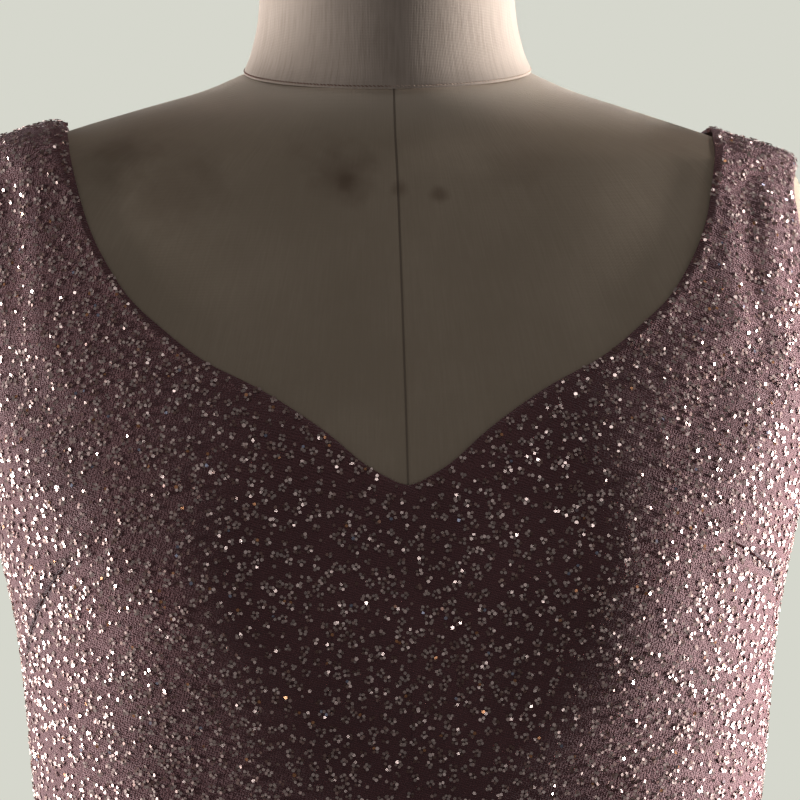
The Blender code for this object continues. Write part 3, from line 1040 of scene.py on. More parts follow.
BACK_CREASES = tuple(Crease(*row) for row in (
    (((9.0, 1.41), (15.0, 1.4), (21.0, 1.38), (27.0, 1.354), (30.0, 1.325)), 0.0011, 0.006, 0.35),
    (((171.0, 1.41), (165.0, 1.4), (159.0, 1.38), (153.0, 1.354), (150.0, 1.325)), 0.0011, 0.006, 0.35),
    (((17.0, 1.33), (32.0, 1.305), (50.0, 1.29)), 0.0009, 0.008),
    (((163.0, 1.334), (148.0, 1.308), (131.0, 1.293)), 0.0009, 0.008),
    (((12.0, 1.276), (30.0, 1.256), (52.0, 1.244)), 0.0008, 0.009),
    (((168.0, 1.272), (149.0, 1.253), (126.0, 1.243)), 0.0008, 0.009),
    (((12.0, 1.13), (45.0, 1.105), (85.0, 1.101), (130.0, 1.108)), 0.0013, 0.0095),
    (((168.0, 1.1), (135.0, 1.08), (95.0, 1.076), (50.0, 1.083)), 0.0016, 0.0095),
    (((14.0, 1.064), (50.0, 1.05), (92.0, 1.046), (128.0, 1.055)), 0.0016, 0.009),
    (((162.0, 1.034), (125.0, 1.02), (88.0, 1.018)), 0.0012, 0.01),
    (((25.0, 1.014), (60.0, 0.998), (90.0, 0.996)), 0.001, 0.011),
))


@dataclass(frozen=True)
class Waviness:
    """The cloth's slight random waves, larger where the skirt hangs loose."""

    fine: tuple[float, float] = (26.0, 11.0)   # waves to a metre, across and up
    broad: tuple[float, float] = (9.0, 3.0)
    shift: float = 7.0                         # keeps the two from lining up
    fine_height: float = 0.00035
    broad_height: float = 0.0005
    loose_fine: float = 0.0012
    loose_broad: float = 0.0045
    loose_below_z: float = 0.95
    loose_over: float = 0.5

    def lift(self, points: Array) -> Array:
        """Return how far the waves push each point outwards."""
        lift = np.empty(len(points))
        for i, (x, y, z) in enumerate(points):
            across, up = self.fine
            fine = noise.noise(Vector((x * across, y * across, z * up)))
            across, up = self.broad
            broad = noise.noise(Vector((x * across + self.shift, y * across, z * up)))
            loose = min(max((self.loose_below_z - z) / self.loose_over, 0.0), 1.0)
            swell = broad * (self.broad_height + self.loose_broad * loose)
            lift[i] = self.fine_height * fine + swell + self.loose_fine * loose * fine
        return lift


class Patch(NamedTuple):
    """Half a panel, its arrays row by column.

    Rows run from the centre or the neck edge to the side or the armhole.
    """

    points: Array   # xyz of the cloth's outer face
    flat: Array     # uv of the flat cut
    edge: Array     # distance to a free edge
    seam: Array     # distance to a seam, or a share of that to a dart
    dart: Array     # signed distance to a dart, and the dart's strength
    side: int       # 1 for the half on +X and -1 for the other


@dataclass
class DressPanel:
    """One panel of the dress, its cloth and the way it is cut.

    Args:
        name: The piece's name.
        node: The CAD node that it stands for.
        side: Front or back.
        edges: Its rows above the underarm.
        creases: Its creases.
        flat: Width and length of the flat cut; not used.
        area: The flat cut's area; not used.
    """

    name: str
    node: str
    side: Side
    edges: tuple[EdgeRow, ...]
    creases: tuple[Crease, ...]
    flat: tuple[float, float]
    area: float
    columns: int = 96
    skirt_rows: int = 62
    hip_rows: int = 36
    bodice_rows: int = 58
    edge_steps: int = 4
    closer_from_z: float = 1.100     # where the rows come closer together
    finer_steps: int = 6             # steps to a column when a row is measured
    thickness: float = 0.0014
    weld: float = 0.00002
    rim_width: float = 0.0005
    rim_angle: float = 62.0
    # The turned edge: a low roll beside it, and its very rim drawn in.
    edge_roll: float = 0.0004
    roll_place: float = 0.0030
    roll_width: float = 0.0022
    rim_drop: float = 0.0005
    rim_drop_width: float = 0.0012
    seam_drop: float = 0.0007
    seam_drop_width: float = 0.0016
    # The strap on -X stands up, less so right at its edges.
    strap_lift: float = 0.0030
    strap_from_z: float = 1.394
    strap_over: float = 0.018
    strap_edge_share: float = 0.35
    strap_edge_width: float = 0.007
    # Creases and waves are shallower at an edge, and press in no further than this.
    held_share: float = 0.25
    held_width: float = 0.012
    deepest_in_bodice: float = 0.0016
    deepest_in_skirt: float = 0.02
    bodice_above_z: float = 0.9
    # How far off a dart counts, the runs over which it grows and dies away, how
    # strong it is where sequins keep clear of it, and how much closer they come.
    dart_none: float = 0.02          # the distance noted where no dart is near
    dart_reach: float = 0.012
    dart_start: float = 0.004
    dart_end: float = 3.5
    dart_strong: float = 0.3
    dart_seam_share: float = 0.45
    # The narrow dark ridge laid along a dart, its colour painted shade, and its two thin ends.
    shade_line_sides: int = 6
    shade_line_half_width: float = 0.00055
    shade_line_half_height: float = 0.00022
    shade_line_thinnest: float = 0.02
    shade_line_start: float = 0.15
    shade_line_end: float = 0.30
    waviness: Waviness = Waviness()
    patches: list[Patch] = field(default_factory=list)

    def _placed(self, deg: Array, side: int) -> Array:
        """Turn angles from the side seam into angles round the body."""
        deg = np.maximum(deg, SHOULDER_SEAM_DEG)
        return self.side.value * (deg if side > 0 else 180.0 - deg)

    def _row_ends(self, side: int) -> tuple[Array, Array, int]:
        """Find where each row starts and ends.

        Args:
            side: 1 for the half on +X and -1 for the other.

        Returns:
            (angle, height) of each row's start, the same of its end, and the
            number of rows below the underarm.
        """
        centre = 90.0 * self.side.value
        levels = np.concatenate([
            np.linspace(HEM_Z, FORM_BOTTOM_Z, self.skirt_rows, endpoint=False),
            np.linspace(FORM_BOTTOM_Z, self.closer_from_z, self.hip_rows, endpoint=False),
            np.linspace(self.closer_from_z, UNDERARM_Z, self.bodice_rows, endpoint=False),
        ])
        gap = np.degrees(0.5 * SEAM_GAP / BODY_SHAPE.half_width(levels))
        starts = [(centre, z) for z in levels]
        ends = list(zip(self._placed(gap, side), levels))
        numbers = list(range(len(self.edges)))
        curves = [smooth_curve(numbers, [row[k] for row in self.edges]) for k in range(4)]
        for t in np.linspace(0.0, len(numbers) - 1, self.edge_steps * (len(numbers) - 1) + 1):
            neck_x, neck_z, arm_deg, arm_z = (float(curve(np.array(t))) for curve in curves)
            neck_z += NECK_TIP_ROUND * NECK_TIP_LIFT * math.exp(-(neck_x / NECK_TIP_ROUND) ** 2)
            neck_deg = centre
            if neck_x >= 1e-5:
                angle = BODY_SHAPE.edge_angle(neck_x, neck_z, self.side.value)
                neck_deg = float(self._placed(np.array(angle), side))
            starts.append((neck_deg, neck_z))
            ends.append((float(self._placed(np.array(arm_deg), side)), arm_z))
        return np.array(starts), np.array(ends), len(levels)

    def _even_rows(self, starts: Array, ends: Array) -> tuple[Array, Array, Array]:
        """Spread each row's points evenly over the body.

        Args:
            starts: (angle, height) of each row's first point.
            ends: The same of its last point.

        Returns:
            Angles, heights and distances from the row's start, row by column.
        """
        fine = np.linspace(0.0, 1.0, self.finer_steps * self.columns + 1)
        deg = starts[:, :1] + (ends[:, :1] - starts[:, :1]) * fine
        z = starts[:, 1:] + (ends[:, 1:] - starts[:, 1:]) * fine
        path = BODY_SHAPE.point(deg, z)
        reach = np.cumsum(np.linalg.norm(np.diff(path, axis=1), axis=2), axis=1)
        reach = np.concatenate([np.zeros((len(starts), 1)), reach], axis=1)
        even_deg, even_z, even_reach = [], [], []
        for i in range(len(starts)):
            targets = np.linspace(0.0, reach[i, -1], self.columns + 1)
            t = np.interp(targets, reach[i], fine)
            even_deg.append(starts[i, 0] + (ends[i, 0] - starts[i, 0]) * t)
            even_z.append(starts[i, 1] + (ends[i, 1] - starts[i, 1]) * t)
            even_reach.append(targets)
        return np.array(even_deg), np.array(even_z), np.array(even_reach)

    def _dart_lines(self) -> list[Array]:
        """Return each dart's run over the body, from the side seam to its tip."""
        return [dart.line() for dart in DARTS] if self.side is Side.FRONT else []

    def _darts(self, points: Array) -> Array:
        """Return each point's signed distance to a dart and the dart's strength there."""
        marks = np.tile((self.dart_none, 0.0), (len(points), 1))
        for line in self._dart_lines():
            away, along = distance_to_line(points, line)
            order = np.argsort(line[:, 0])
            above = points[:, 2] > np.interp(points[:, 0], line[order, 0], line[order, 2])
            near = (away < self.dart_reach) & (points[:, 1] < 0.0)
            dying = ease(along / along.max() * self.dart_end - (self.dart_end - 1.0))
            marks[near, 0] = np.where(above, away, -away)[near]
            marks[near, 1] = (ease(along / self.dart_start) * (1.0 - dying))[near]
        return marks

    def _lifted(self, points: Array, edge: Array, seam: Array, side: int) -> Array:
        """Return how far out from the body each point of the outer face lies.

        Args:
            points: The points of the cloth's inside.
            edge: Their distances to a free edge.
            seam: Their distances to a seam or dart.
            side: 1 for the half on +X and -1 for the other.

        Returns:
            One distance for each point.
        """
        lift = np.zeros(len(points))
        for crease in self.creases:
            lift += crease.lift(points)
        lift = lift + self.waviness.lift(points)
        roll = self.edge_roll * hump(edge - self.roll_place, self.roll_width)
        roll = roll - self.rim_drop * hump(edge, self.rim_drop_width)
        if side < 0:
            high = ease((points[:, 2] - self.strap_from_z) / self.strap_over)
            inner = (1.0 - self.strap_edge_share) * ease(edge / self.strap_edge_width)
            roll = roll + self.strap_lift * high * (self.strap_edge_share + inner)
        held = ease(edge / self.held_width) * (1.0 - self.held_share) + self.held_share
        in_bodice = points[:, 2] > self.bodice_above_z
        deepest = np.where(in_bodice, self.deepest_in_bodice, self.deepest_in_skirt)
        drawn_in = -self.seam_drop * hump(seam, self.seam_drop_width)
        return WALL + np.maximum(lift * held, -deepest) + roll + drawn_in

    def _half(self, side: int) -> Patch:
        """Build the points of half the panel.

        Args:
            side: 1 for the half on +X and -1 for the other.

        Returns:
            The half's points and what the finish needs to know of them.
        """
        starts, ends, below = self._row_ends(side)
        deg, z, reach = self._even_rows(starts, ends)
        base = BODY_SHAPE.point(deg, z)
        rows, columns = deg.shape
        points = base.reshape(-1, 3)
        opened = np.argmax(starts[:, 0] != starts[0, 0]) - 1 if self.side is Side.BACK else below
        free = [base[opened:, 0], base[below:, -1], base[0]]
        sewn = [base[:below + 1, -1], base[-1]]
        edge, seam = (
            np.min([distance_to_line(points, line)[0] for line in lines], axis=0) for lines in (free, sewn)
        )
        dart = self._darts(points)
        to_dart = np.abs(dart[:, 0]) * self.dart_seam_share
        seam = np.minimum(seam, np.where(dart[:, 1] > self.dart_strong, to_dart, seam))
        out = self._lifted(points, edge, seam, side).reshape(rows, columns)
        outer = base + out[..., None] * BODY_SHAPE.normal(deg, z)
        outer[..., 2] = np.maximum(outer[..., 2], HEM_Z)
        height = np.cumsum(np.linalg.norm(np.diff(base[:, columns // 2], axis=0), axis=1))
        height = np.concatenate([[0.0], height])
        flat = np.stack([reach * side + base[:, :1, 0], np.repeat(height[:, None], columns, axis=1)], axis=-1)
        edge, seam = edge.reshape(rows, columns), seam.reshape(rows, columns)
        return Patch(outer, flat, edge, seam, dart.reshape(rows, columns, 2), side)

    def build(self, material: Material) -> Piece:
        """Build the panel's cloth as a thin closed shell.

        Args:
            material: The knit.

        Returns:
            The piece.
        """
        self.patches = [self._half(side) for side in (1, -1)]
        whole = bmesh.new()
        whole.loops.layers.uv.new("UVMap")
        names = ("edge_distance", "dart_side", "dart_share")
        for name in names:
            whole.verts.layers.float.new(name)
        for patch in self.patches:
            rows, columns = patch.points.shape[:2]
            half = grid_mesh(columns - 1, rows - 1, lambda c, r: patch.points[r, c])
            layers = [half.verts.layers.float.new(name) for name in names]
            marks = np.concatenate([patch.edge[..., None], patch.dart], axis=-1)
            uv = half.loops.layers.uv["UVMap"]
            for loop, c, r in grid_corners(half, columns - 1, rows - 1):
                loop[uv].uv = patch.flat[r, c]
                for layer, mark in zip(layers, marks[r, c]):
                    loop.vert[layer] = mark
            outward = (patch.side > 0) == (self.side is Side.FRONT)
            if not outward:
                bmesh.ops.reverse_faces(half, faces=half.faces[:])
            add_part(whole, half)
        bmesh.ops.remove_doubles(whole, verts=whole.verts[:], dist=self.weld)
        mesh = to_mesh(whole, self.name)
        piece = finish_piece(self.name, mesh, material, "sequin_knit", (self.node,))
        wall = piece.modifiers.new("thickness", "SOLIDIFY")
        wall.thickness = self.thickness
        wall.offset = -1.0
        rim = piece.modifiers.new("rolled rim", "BEVEL")
        rim.width = self.rim_width
        rim.segments = 2
        rim.limit_method = "ANGLE"
        rim.angle_limit = math.radians(self.rim_angle)
        return piece

    def dart_shade_lines(self, material: Material) -> list[Piece]:
        """Build a narrow dark ridge along each dart, its colour painted shade for the dart's groove.

        Args:
            material: The ridges' finish, painted shade.

        Returns:
            The piece, or nothing where the panel has no darts.
        """
        folds = bmesh.new()
        for line in self._dart_lines():
            patch = self.patches[0 if line[0, 0] > 0.0 else 1]
            rows, columns = patch.points.shape[:2]
            index = np.arange(rows * columns).reshape(rows, columns)
            quads = np.stack([index[:-1, :-1], index[:-1, 1:], index[1:, 1:], index[1:, :-1]], axis=-1)
            cloth = BVHTree.FromPolygons(patch.points.reshape(-1, 3).tolist(), quads.reshape(-1, 4).tolist())
            found = [cloth.find_nearest(Vector(point)) for point in line]
            centre = np.array([place for place, _, _, _ in found])
            out = np.array([normal for _, normal, _, _ in found])
            out = out * np.sign(np.einsum("ij,ij->i", out, centre * (1.0, 1.0, 0.0)))[:, None]
            across = unit(np.cross(np.gradient(centre, axis=0), out))
            t = np.linspace(0.0, 1.0, len(line))
            thicker = (1.0 - self.shade_line_thinnest) * ease(t / self.shade_line_start) * ease((1.0 - t) / self.shade_line_end)
            full = self.shade_line_thinnest + thicker

            def place(column: Array, row: Array) -> Array:
                """Return a point of the fold's skin."""
                turn = np.asarray(column) * math.tau / self.shade_line_sides
                wide = (np.cos(turn) * self.shade_line_half_width * full[row])[..., None]
                high = (np.sin(turn) * self.shade_line_half_height * full[row])[..., None]
                return centre[row] + wide * across[row] + (high + self.shade_line_half_height) * out[row]

            add_part(folds, grid_mesh(self.shade_line_sides, len(line) - 1, place))
        if not folds.verts:
            folds.free()
            return []
        bmesh.ops.remove_doubles(folds, verts=folds.verts[:], dist=0.00001)
        bmesh.ops.holes_fill(folds, edges=folds.edges[:])
        bmesh.ops.recalc_face_normals(folds, faces=folds.faces[:])
        return [finish_piece("bust_dart_painted_shade", to_mesh(folds, "folds"), material, "sequin_knit")]


class SequinZone(NamedTuple):
    """How densely and finely an area of the panels is covered."""

    name: str
    low_z: float
    high_z: float
    spacing: float
    corners: int
    discs: tuple[int, ...]
    odds: tuple[float, ...]


@dataclass
class Sequins:
    """Clusters of tiny sequins scattered evenly over the panels."""

    radius: float = 0.00070
    lift: float = 0.00045
    lift_spread: float = 0.00012
    tilt: float = 0.25             # how far they lean, as a share of upright
    turn_spread: float = 0.20
    reach: float = 0.98            # from a cluster's middle: 1 if they just touch
    reach_spread: float = 0.14
    size_spread: float = 0.08
    hexagon: float = 1.21          # a circle's area over that of its hexagon
    flower: int = 4                # the fewest sequins round a dark eye
    eye: float = 0.42              # the eye's size, to a sequin's
    eye_lift: float = 0.8
    tries: float = 3.4             # places tried for each that the spacing holds
    edge_margin: float = 0.0011    # kept bare along an edge
    seam_nearer: float = 0.0004    # how much nearer to a seam they may lie
    zones: tuple[SequinZone, ...] = (
        SequinZone("bodice", 1.115, 2.0, 0.0035, 6, (1, 2, 3, 4, 5, 6), (0.05, 0.07, 0.18, 0.32, 0.28, 0.10)),
        SequinZone("hip", 0.62, 1.115, 0.0043, 4, (3, 4, 5), (0.25, 0.45, 0.30)),
        SequinZone("skirt", 0.0, 0.62, 0.0046, 4, (3, 4), (0.60, 0.40)),
    )
    fade: float = 0.16             # the height over which the spacing widens

    def _candidates(self, panel: DressPanel, draw: np.random.Generator) -> tuple[Array, Array]:
        """Spread points at random over a panel's outer face.

        Args:
            panel: The panel.
            draw: The random numbers.

        Returns:
            Points clear of edges and seams, and the outward directions there.
        """
        found = []
        for patch in panel.patches:
            grid = patch.points
            run = np.gradient(grid, axis=1)
            rise = np.gradient(grid, axis=0)
            way = 1.0 if (patch.side > 0) == (panel.side is Side.FRONT) else -1.0
            normal = unit(np.cross(run, rise)) * way
            a, b, c = grid[:-1, :-1], grid[:-1, 1:], grid[1:, :-1]
            area = np.linalg.norm(np.cross(b - a, c - a), axis=2).ravel()
            count = int(area.sum() / min(zone.spacing for zone in self.zones) ** 2 * self.tries)
            pick = draw.choice(len(area), count, p=area / area.sum())
            row, column = np.divmod(pick, grid.shape[1] - 1)
            u, v = draw.random((2, count, 1))

            def blend(values: Array) -> Array:
                """Read values at the random places, between grid points."""
                low = values[row, column] * (1.0 - u) + values[row, column + 1] * u
                high = values[row + 1, column] * (1.0 - u) + values[row + 1, column + 1] * u
                return low * (1.0 - v) + high * v

            seam = blend(patch.seam[..., None]) + self.seam_nearer
            edge = np.minimum(blend(patch.edge[..., None]), seam)
            found.append((blend(grid), unit(blend(normal)), edge[:, 0]))
        points, normals, edges = (np.concatenate(part) for part in zip(*found))
        order = draw.permutation(len(points))
        keep = order[edges[order] > self.edge_margin]
        return points[keep], normals[keep]

    def _thinned(self, points: Array) -> Array:
        """Choose points that keep their zone's distance from each other."""
        spacing = np.full(len(points), self.zones[0].spacing)
        for above, zone in zip(self.zones, self.zones[1:]):
            wider = np.clip((zone.high_z - points[:, 2]) / self.fade, 0.0, 1.0)
            spacing += (zone.spacing - above.spacing) * wider
        tree = KDTree(len(points))
        for i, point in enumerate(points):
            tree.insert(point, i)
        tree.balance()
        gone = np.zeros(len(points), bool)
        chosen = []
        for i, point in enumerate(points):
            if gone[i]:
                continue
            chosen.append(i)
            for _, j, _ in tree.find_range(point, spacing[i]):
                gone[j] = True
        return np.array(chosen)

    def _discs(
        self, zone: SequinZone, centres: Array, normals: Array, draw: np.random.Generator
    ) -> tuple[Array, Array]:
        """Lay out a zone's sequins.

        Args:
            zone: The zone.
            centres: The clusters' places.
            normals: The cloth's directions there.
            draw: The random numbers.

        Returns:
            The corners of each sequin, and each sequin's tone.
        """
        number = draw.choice(zone.discs, len(centres), p=zone.odds)
        owner = np.repeat(np.arange(len(centres)), number)
        first = np.concatenate([[0], np.cumsum(number)[:-1]])
        turn = np.arange(len(owner)) - first[owner]
        spin = draw.random(len(centres)) * math.tau
        angle = spin[owner] + turn * math.tau / number[owner] + draw.normal(0.0, self.turn_spread, len(owner))
        touching = self.reach * self.radius / np.sin(math.pi / np.maximum(number[owner], 2))
        reach = touching * (1.0 + draw.normal(0.0, self.reach_spread, len(owner)))
        out = normals[owner]
        side = unit(np.cross(out, np.where(np.abs(out[:, 2:]) < 0.9, (0.0, 0.0, 1.0), (1.0, 0.0, 0.0))))
        up = np.cross(out, side)
        offset = np.cos(angle)[:, None] * side + np.sin(angle)[:, None] * up
        proud = self.lift + draw.random((len(owner), 1)) * self.lift_spread
        centre = centres[owner] + offset * reach[:, None] + out * proud
        lean = draw.normal(0.0, self.tilt, (2, len(owner), 1))
        facing = unit(out + side * lean[0] + up * lean[1])
        across = unit(np.cross(facing, side))
        along = np.cross(across, facing)
        round_area = math.pi / (zone.corners / 2.0 * math.sin(math.tau / zone.corners))
        uneven = 1.0 + draw.normal(0.0, self.size_spread, (len(owner), 1))
        size = self.radius * math.sqrt(round_area / self.hexagon) * uneven
        ring = bmesh.new()
        bmesh.ops.create_circle(ring, segments=zone.corners, radius=1.0)
        circle = np.array([vert.co for vert in ring.verts])
        ring.free()
        start = draw.random(len(owner)) * math.tau
        corners = []
        for x, y, _ in circle:
            cos, sin = np.cos(start)[:, None], np.sin(start)[:, None]
            corners.append(centre + size * ((x * cos - y * sin) * along + (x * sin + y * cos) * across))
        corners, tone = np.stack(corners, axis=1), draw.random(len(owner))
        if zone.corners < 6:
            return corners, tone
        flowers = number >= self.flower
        middle, out = centres[flowers], normals[flowers]
        across, along = (unit(np.cross(out, way)) for way in ((0.0, 0.0, 1.0), (1.0, 0.0, 0.3)))
        eyes = np.stack([
            middle + out * self.lift * self.eye_lift + self.eye * self.radius * (x * across + y * along)
            for x, y, _ in circle
        ], axis=1)
        return np.concatenate([corners, eyes]), np.concatenate([tone, np.full(len(eyes), -1.0)])

    def build(self, panel: DressPanel, seed: int, material: Material) -> list[Piece]:
        """Cover a panel with sequins, one piece for each zone.

        Args:
            panel: The panel.
            seed: The start of the random numbers.
            material: The sequins' finish.

        Returns:
            The pieces.
        """
        draw = np.random.default_rng(seed)
        points, normals = self._candidates(panel, draw)
        chosen = self._thinned(points)
        points, normals = points[chosen], normals[chosen]
        pieces = []
        for zone in self.zones:
            inside = (points[:, 2] > zone.low_z) & (points[:, 2] <= zone.high_z)
            corners, tone = self._discs(zone, points[inside], normals[inside], draw)
            count, sides = corners.shape[:2]
            mesh = bpy.data.meshes.new("sequins")
            mesh.vertices.add(count * sides)
            mesh.loops.add(count * sides)
            mesh.polygons.add(count)
            mesh.vertices.foreach_set("co", corners.reshape(-1).astype(np.float32))
            mesh.loops.foreach_set("vertex_index", np.arange(count * sides, dtype=np.int32))
            mesh.polygons.foreach_set("loop_start", np.arange(0, count * sides, sides, dtype=np.int32))
            mesh.update(calc_edges=True)
            tones = mesh.attributes.new("tone", "FLOAT", "FACE")
            tones.data.foreach_set("value", tone.astype(np.float32))
            name = f"sequins_{zone.name}_{panel.side.name.lower()}"
            piece = finish_piece(name, mesh, material, "sequin_knit")
            mesh.shade_flat()
            LOG.info("%s: %d clusters, %d sequins", name, int(inside.sum()), count)
            pieces.append(piece)
        return pieces


@dataclass
class Dress:
    """The two panels with their sequins."""

    sequins: Sequins = field(default_factory=Sequins)

    def panels(self) -> tuple[DressPanel, DressPanel]:
        """Return the front and the back panel."""
        return (
            DressPanel("dress_front_cloth", "dress_front", Side.FRONT, FRONT_EDGES, FRONT_CREASES,
                       flat=(1.19, 1.44), area=0.95),
            DressPanel("dress_back_cloth", "dress_back", Side.BACK, BACK_EDGES, BACK_CREASES,
                       flat=(1.24, 1.44), area=1.00),
        )

    def build(self, knit: Material, sequin: Material, fold: Material) -> None:
        """Build both panels with their sequins and dart lines.

        Args:
            knit: The cloth's finish.
            sequin: The sequins' finish.
            fold: The finish of the dark ridges along the darts, painted shade.
        """
        for seed, panel in enumerate(self.panels(), start=11):
            cloth = panel.build(knit)
            covered = self.sequins.build(panel, seed, sequin) + panel.dart_shade_lines(fold)


# ---------------------------------------------------------------------- form
@dataclass
class LinenForm:
    """The torso and neck of the dress form."""

    segments: int = 132
    heights: int = 96
    seam_depth: float = 0.0006
    seam_spread: float = 0.32      # degrees
    stitches: int = 232
    stitch_length: float = 0.0014
    stitch_radius: float = 0.00022
    stitch_above: float = 0.0005   # over the neck seam
    stitch_proud: float = 0.00008
    stitch_along: float = 0.85     # along the seam, to stitch_down across it
    stitch_down: float = 0.35
    place_spread: float = 0.07
    slant_spread: float = 0.08
    neck_step: float = 0.0020
    neck_step_height: float = 0.012
    neck_lap: float = 0.0003
    neck_lap_height: float = 0.006

    def _angles(self) -> Array:
        """Return the angles of the columns, closer together at the seams."""
        even = np.linspace(-180.0, 180.0, self.segments, endpoint=False)
        extra = np.array([-0.9, -0.5, -0.25, 0.25, 0.5, 0.9])
        both = np.concatenate([even, -90.0 + extra, 90.0 + extra])
        return np.unique(np.round(both, 4))

    def _tube(self, place: Surface, deg: Array, levels: Array, name: str) -> Mesh:
        """Build a closed tube with flat ends.

        Args:
            place: Gives points for arrays of angles and heights.
            deg: The columns' angles.
            levels: The rows' heights.
            name: The mesh's name.

        Returns:
            The mesh, its UVs in metres.
        """
        round_deg = np.append(deg, deg[0] + 360.0)
        middle = place(round_deg, np.full(len(round_deg), levels[len(levels) // 2]))
        across = np.concatenate([[0.0], np.cumsum(np.linalg.norm(np.diff(middle, axis=0), axis=1))])
        tube = grid_mesh(len(round_deg) - 1, len(levels) - 1, lambda c, r: place(round_deg[c], levels[r]))
        uv = tube.loops.layers.uv["UVMap"]
        for loop, c, r in grid_corners(tube, len(round_deg) - 1, len(levels) - 1):
            loop[uv].uv = (across[c], levels[r])
        bmesh.ops.remove_doubles(tube, verts=tube.verts[:], dist=0.000002)
        rim = [edge for edge in tube.edges if edge.is_boundary]
        for edge in rim:
            edge.smooth = False
        middle_z = levels.mean()
        bmesh.ops.contextual_create(tube, geom=[e for e in rim if e.verts[0].co.z < middle_z])
        bmesh.ops.contextual_create(tube, geom=[e for e in rim if e.verts[0].co.z > middle_z])
        bmesh.ops.recalc_face_normals(tube, faces=tube.faces[:])
        return to_mesh(tube, name)

    def _seam(self, deg: Array) -> Array:
        """Return how deep the centre seams draw in at these angles."""
        gap = np.minimum(np.abs(np.abs(deg) - 90.0), 180.0)
        return self.seam_depth * hump(gap, self.seam_spread)

    def _torso_point(self, deg: Array, z: Array) -> Array:
        """Return points of the torso, just inside the cloth."""
        inset = CLOTH_CLEARANCE + (ARM_CLEARANCE - CLOTH_CLEARANCE) * eased(z, ARM_FROM_Z, UNDERARM_Z)
        outward = BODY_SHAPE.normal(deg, z)
        drawn_in = inset + self._seam(angle_between(deg, 0.0))
        point = BODY_SHAPE.point(deg, z) - outward * drawn_in[:, None]
        level = outward * np.array([1.0, 1.0, 0.0])
        point = point - level * (FORM_TUCK * eased(z, HIP_Z, FORM_BOTTOM_Z))[:, None]
        point[:, 0] = np.clip(point[:, 0], -ARM_END_X, ARM_END_X)
        point[:, 2] = np.maximum(point[:, 2], FORM_BOTTOM_Z)
        return point

    def _neck_point(self, deg: Array, z: Array) -> Array:
        """Return points of the neck block."""
        zs = [row.z for row in NECK]
        width, depth, forward = (
            smooth_curve(zs, [getattr(row, name) for row in NECK])(z)
            for name in ("half_width", "half_depth", "forward")
        )
        lean = NECK_LEAN * (1.0 - eased(z, NECK_SEAM_Z, NECK_TOP_Z))
        cos, sin = np.cos(np.radians(deg)), np.sin(np.radians(deg))
        flush = self.neck_step * np.sign(sin) * (1.0 - ease((z - NECK_SEAM_Z) / self.neck_step_height))
        lap = self.neck_lap * (1.0 - ease((z - NECK_SEAM_Z) / self.neck_lap_height))
        y = (depth + flush + lap) * sin
        return np.stack([(width + lap) * cos, y - forward, z + lean * y], axis=-1)

    def _stitch_ring(self) -> Mesh:
        """Build the whip stitches that hold the neck's cover."""
        ring = bmesh.new()
        draw = np.random.default_rng(5)
        length = 0.5 * self.stitch_length
        height = np.full(2, NECK_SEAM_Z + self.stitch_above)
        scale = Matrix.Diagonal((self.stitch_radius, self.stitch_radius, length, 1.0))
        for i in range(self.stitches):
            deg = 360.0 * (i + draw.normal(0.0, self.place_spread)) / self.stitches - 180.0
            here, beside = self._neck_point(np.array([deg, deg + 1.0]), height)
            along = Vector(unit(beside - here))
            out = Vector((here[0], here[1], 0.0)).normalized()
            up = out.cross(along).normalized()
            slant = self.stitch_along + draw.normal(0.0, self.slant_spread)
            way = (up * -self.stitch_down + along * slant).normalized()
            made = bmesh.ops.create_uvsphere(ring, u_segments=6, v_segments=5, radius=1.0)
            basis = Matrix((way.cross(out), out, way)).transposed().to_4x4()
            centre = Matrix.Translation(Vector(here) + out * self.stitch_proud)
            bmesh.ops.transform(ring, matrix=centre @ basis @ scale, verts=made["verts"])
        bmesh.ops.recalc_face_normals(ring, faces=ring.faces[:])
        return to_mesh(ring, "stitches")

    def build(self, linen: Material, neck: Material, thread: Material) -> None:
        """Build the torso, the neck and the stitches between them.

        Args:
            linen: The torso's finish.
            neck: The neck's finish.
            thread: The stitches' finish.
        """
        deg = self._angles()
        # Where the rows come closer on the torso, and open out on the neck.
        chest_z, cover_z = 1.26, 1.4606
        rows = [
            np.linspace(FORM_BOTTOM_Z, chest_z, self.heights // 2, endpoint=False),
            np.linspace(chest_z, NECK_LEAN_FROM_Z, 30, endpoint=False),
            np.linspace(NECK_LEAN_FROM_Z, NECK_SEAM_Z, 26),
        ]
        torso = self._tube(self._torso_point, deg, np.concatenate(rows), "torso")
        finish_piece("linen_torso", torso, linen, "form_linen", ("form_torso",))
        rows = [
            np.linspace(NECK_SEAM_Z - 2.0 * SEAM_GAP, cover_z, 12, endpoint=False),
            np.linspace(cover_z, NECK_TOP_Z, 28),
        ]
        block = self._tube(self._neck_point, deg, np.concatenate(rows), "neck")
        finish_piece("linen_neck", block, neck, "neck_linen", ("form_neck",))
        finish_piece("neck_whip_stitches", self._stitch_ring(), thread, "neck_linen")


# --------------------------------------------------------------------- stage
class Lamp(NamedTuple):
    """A soft rectangular lamp.

    It has a place, a target that it points at, a width and a height, a power, a
    colour and the angle that its beam opens to, in degrees.
    """

    name: str
    place: tuple[float, float, float]
    target: tuple[float, float, float]
    size: tuple[float, float]
    watts: float
    colour: Colour = (1.0, 1.0, 1.0)
    spread: float = 180.0


CHEST, WAIST, KNEES = (0.0, 0.0, 1.25), (0.0, 0.0, 1.10), (0.0, 0.0, 0.9)
WARM = (1.0, 0.985, 0.97)
# Small lamps in front that the sequins glint from: how far across and how high.
GLINTS = ((-0.45, 2.10), (0.55, 0.90), (0.25, 1.75), (-0.35, 1.00), (0.75, 1.5), (-0.8, 1.35))
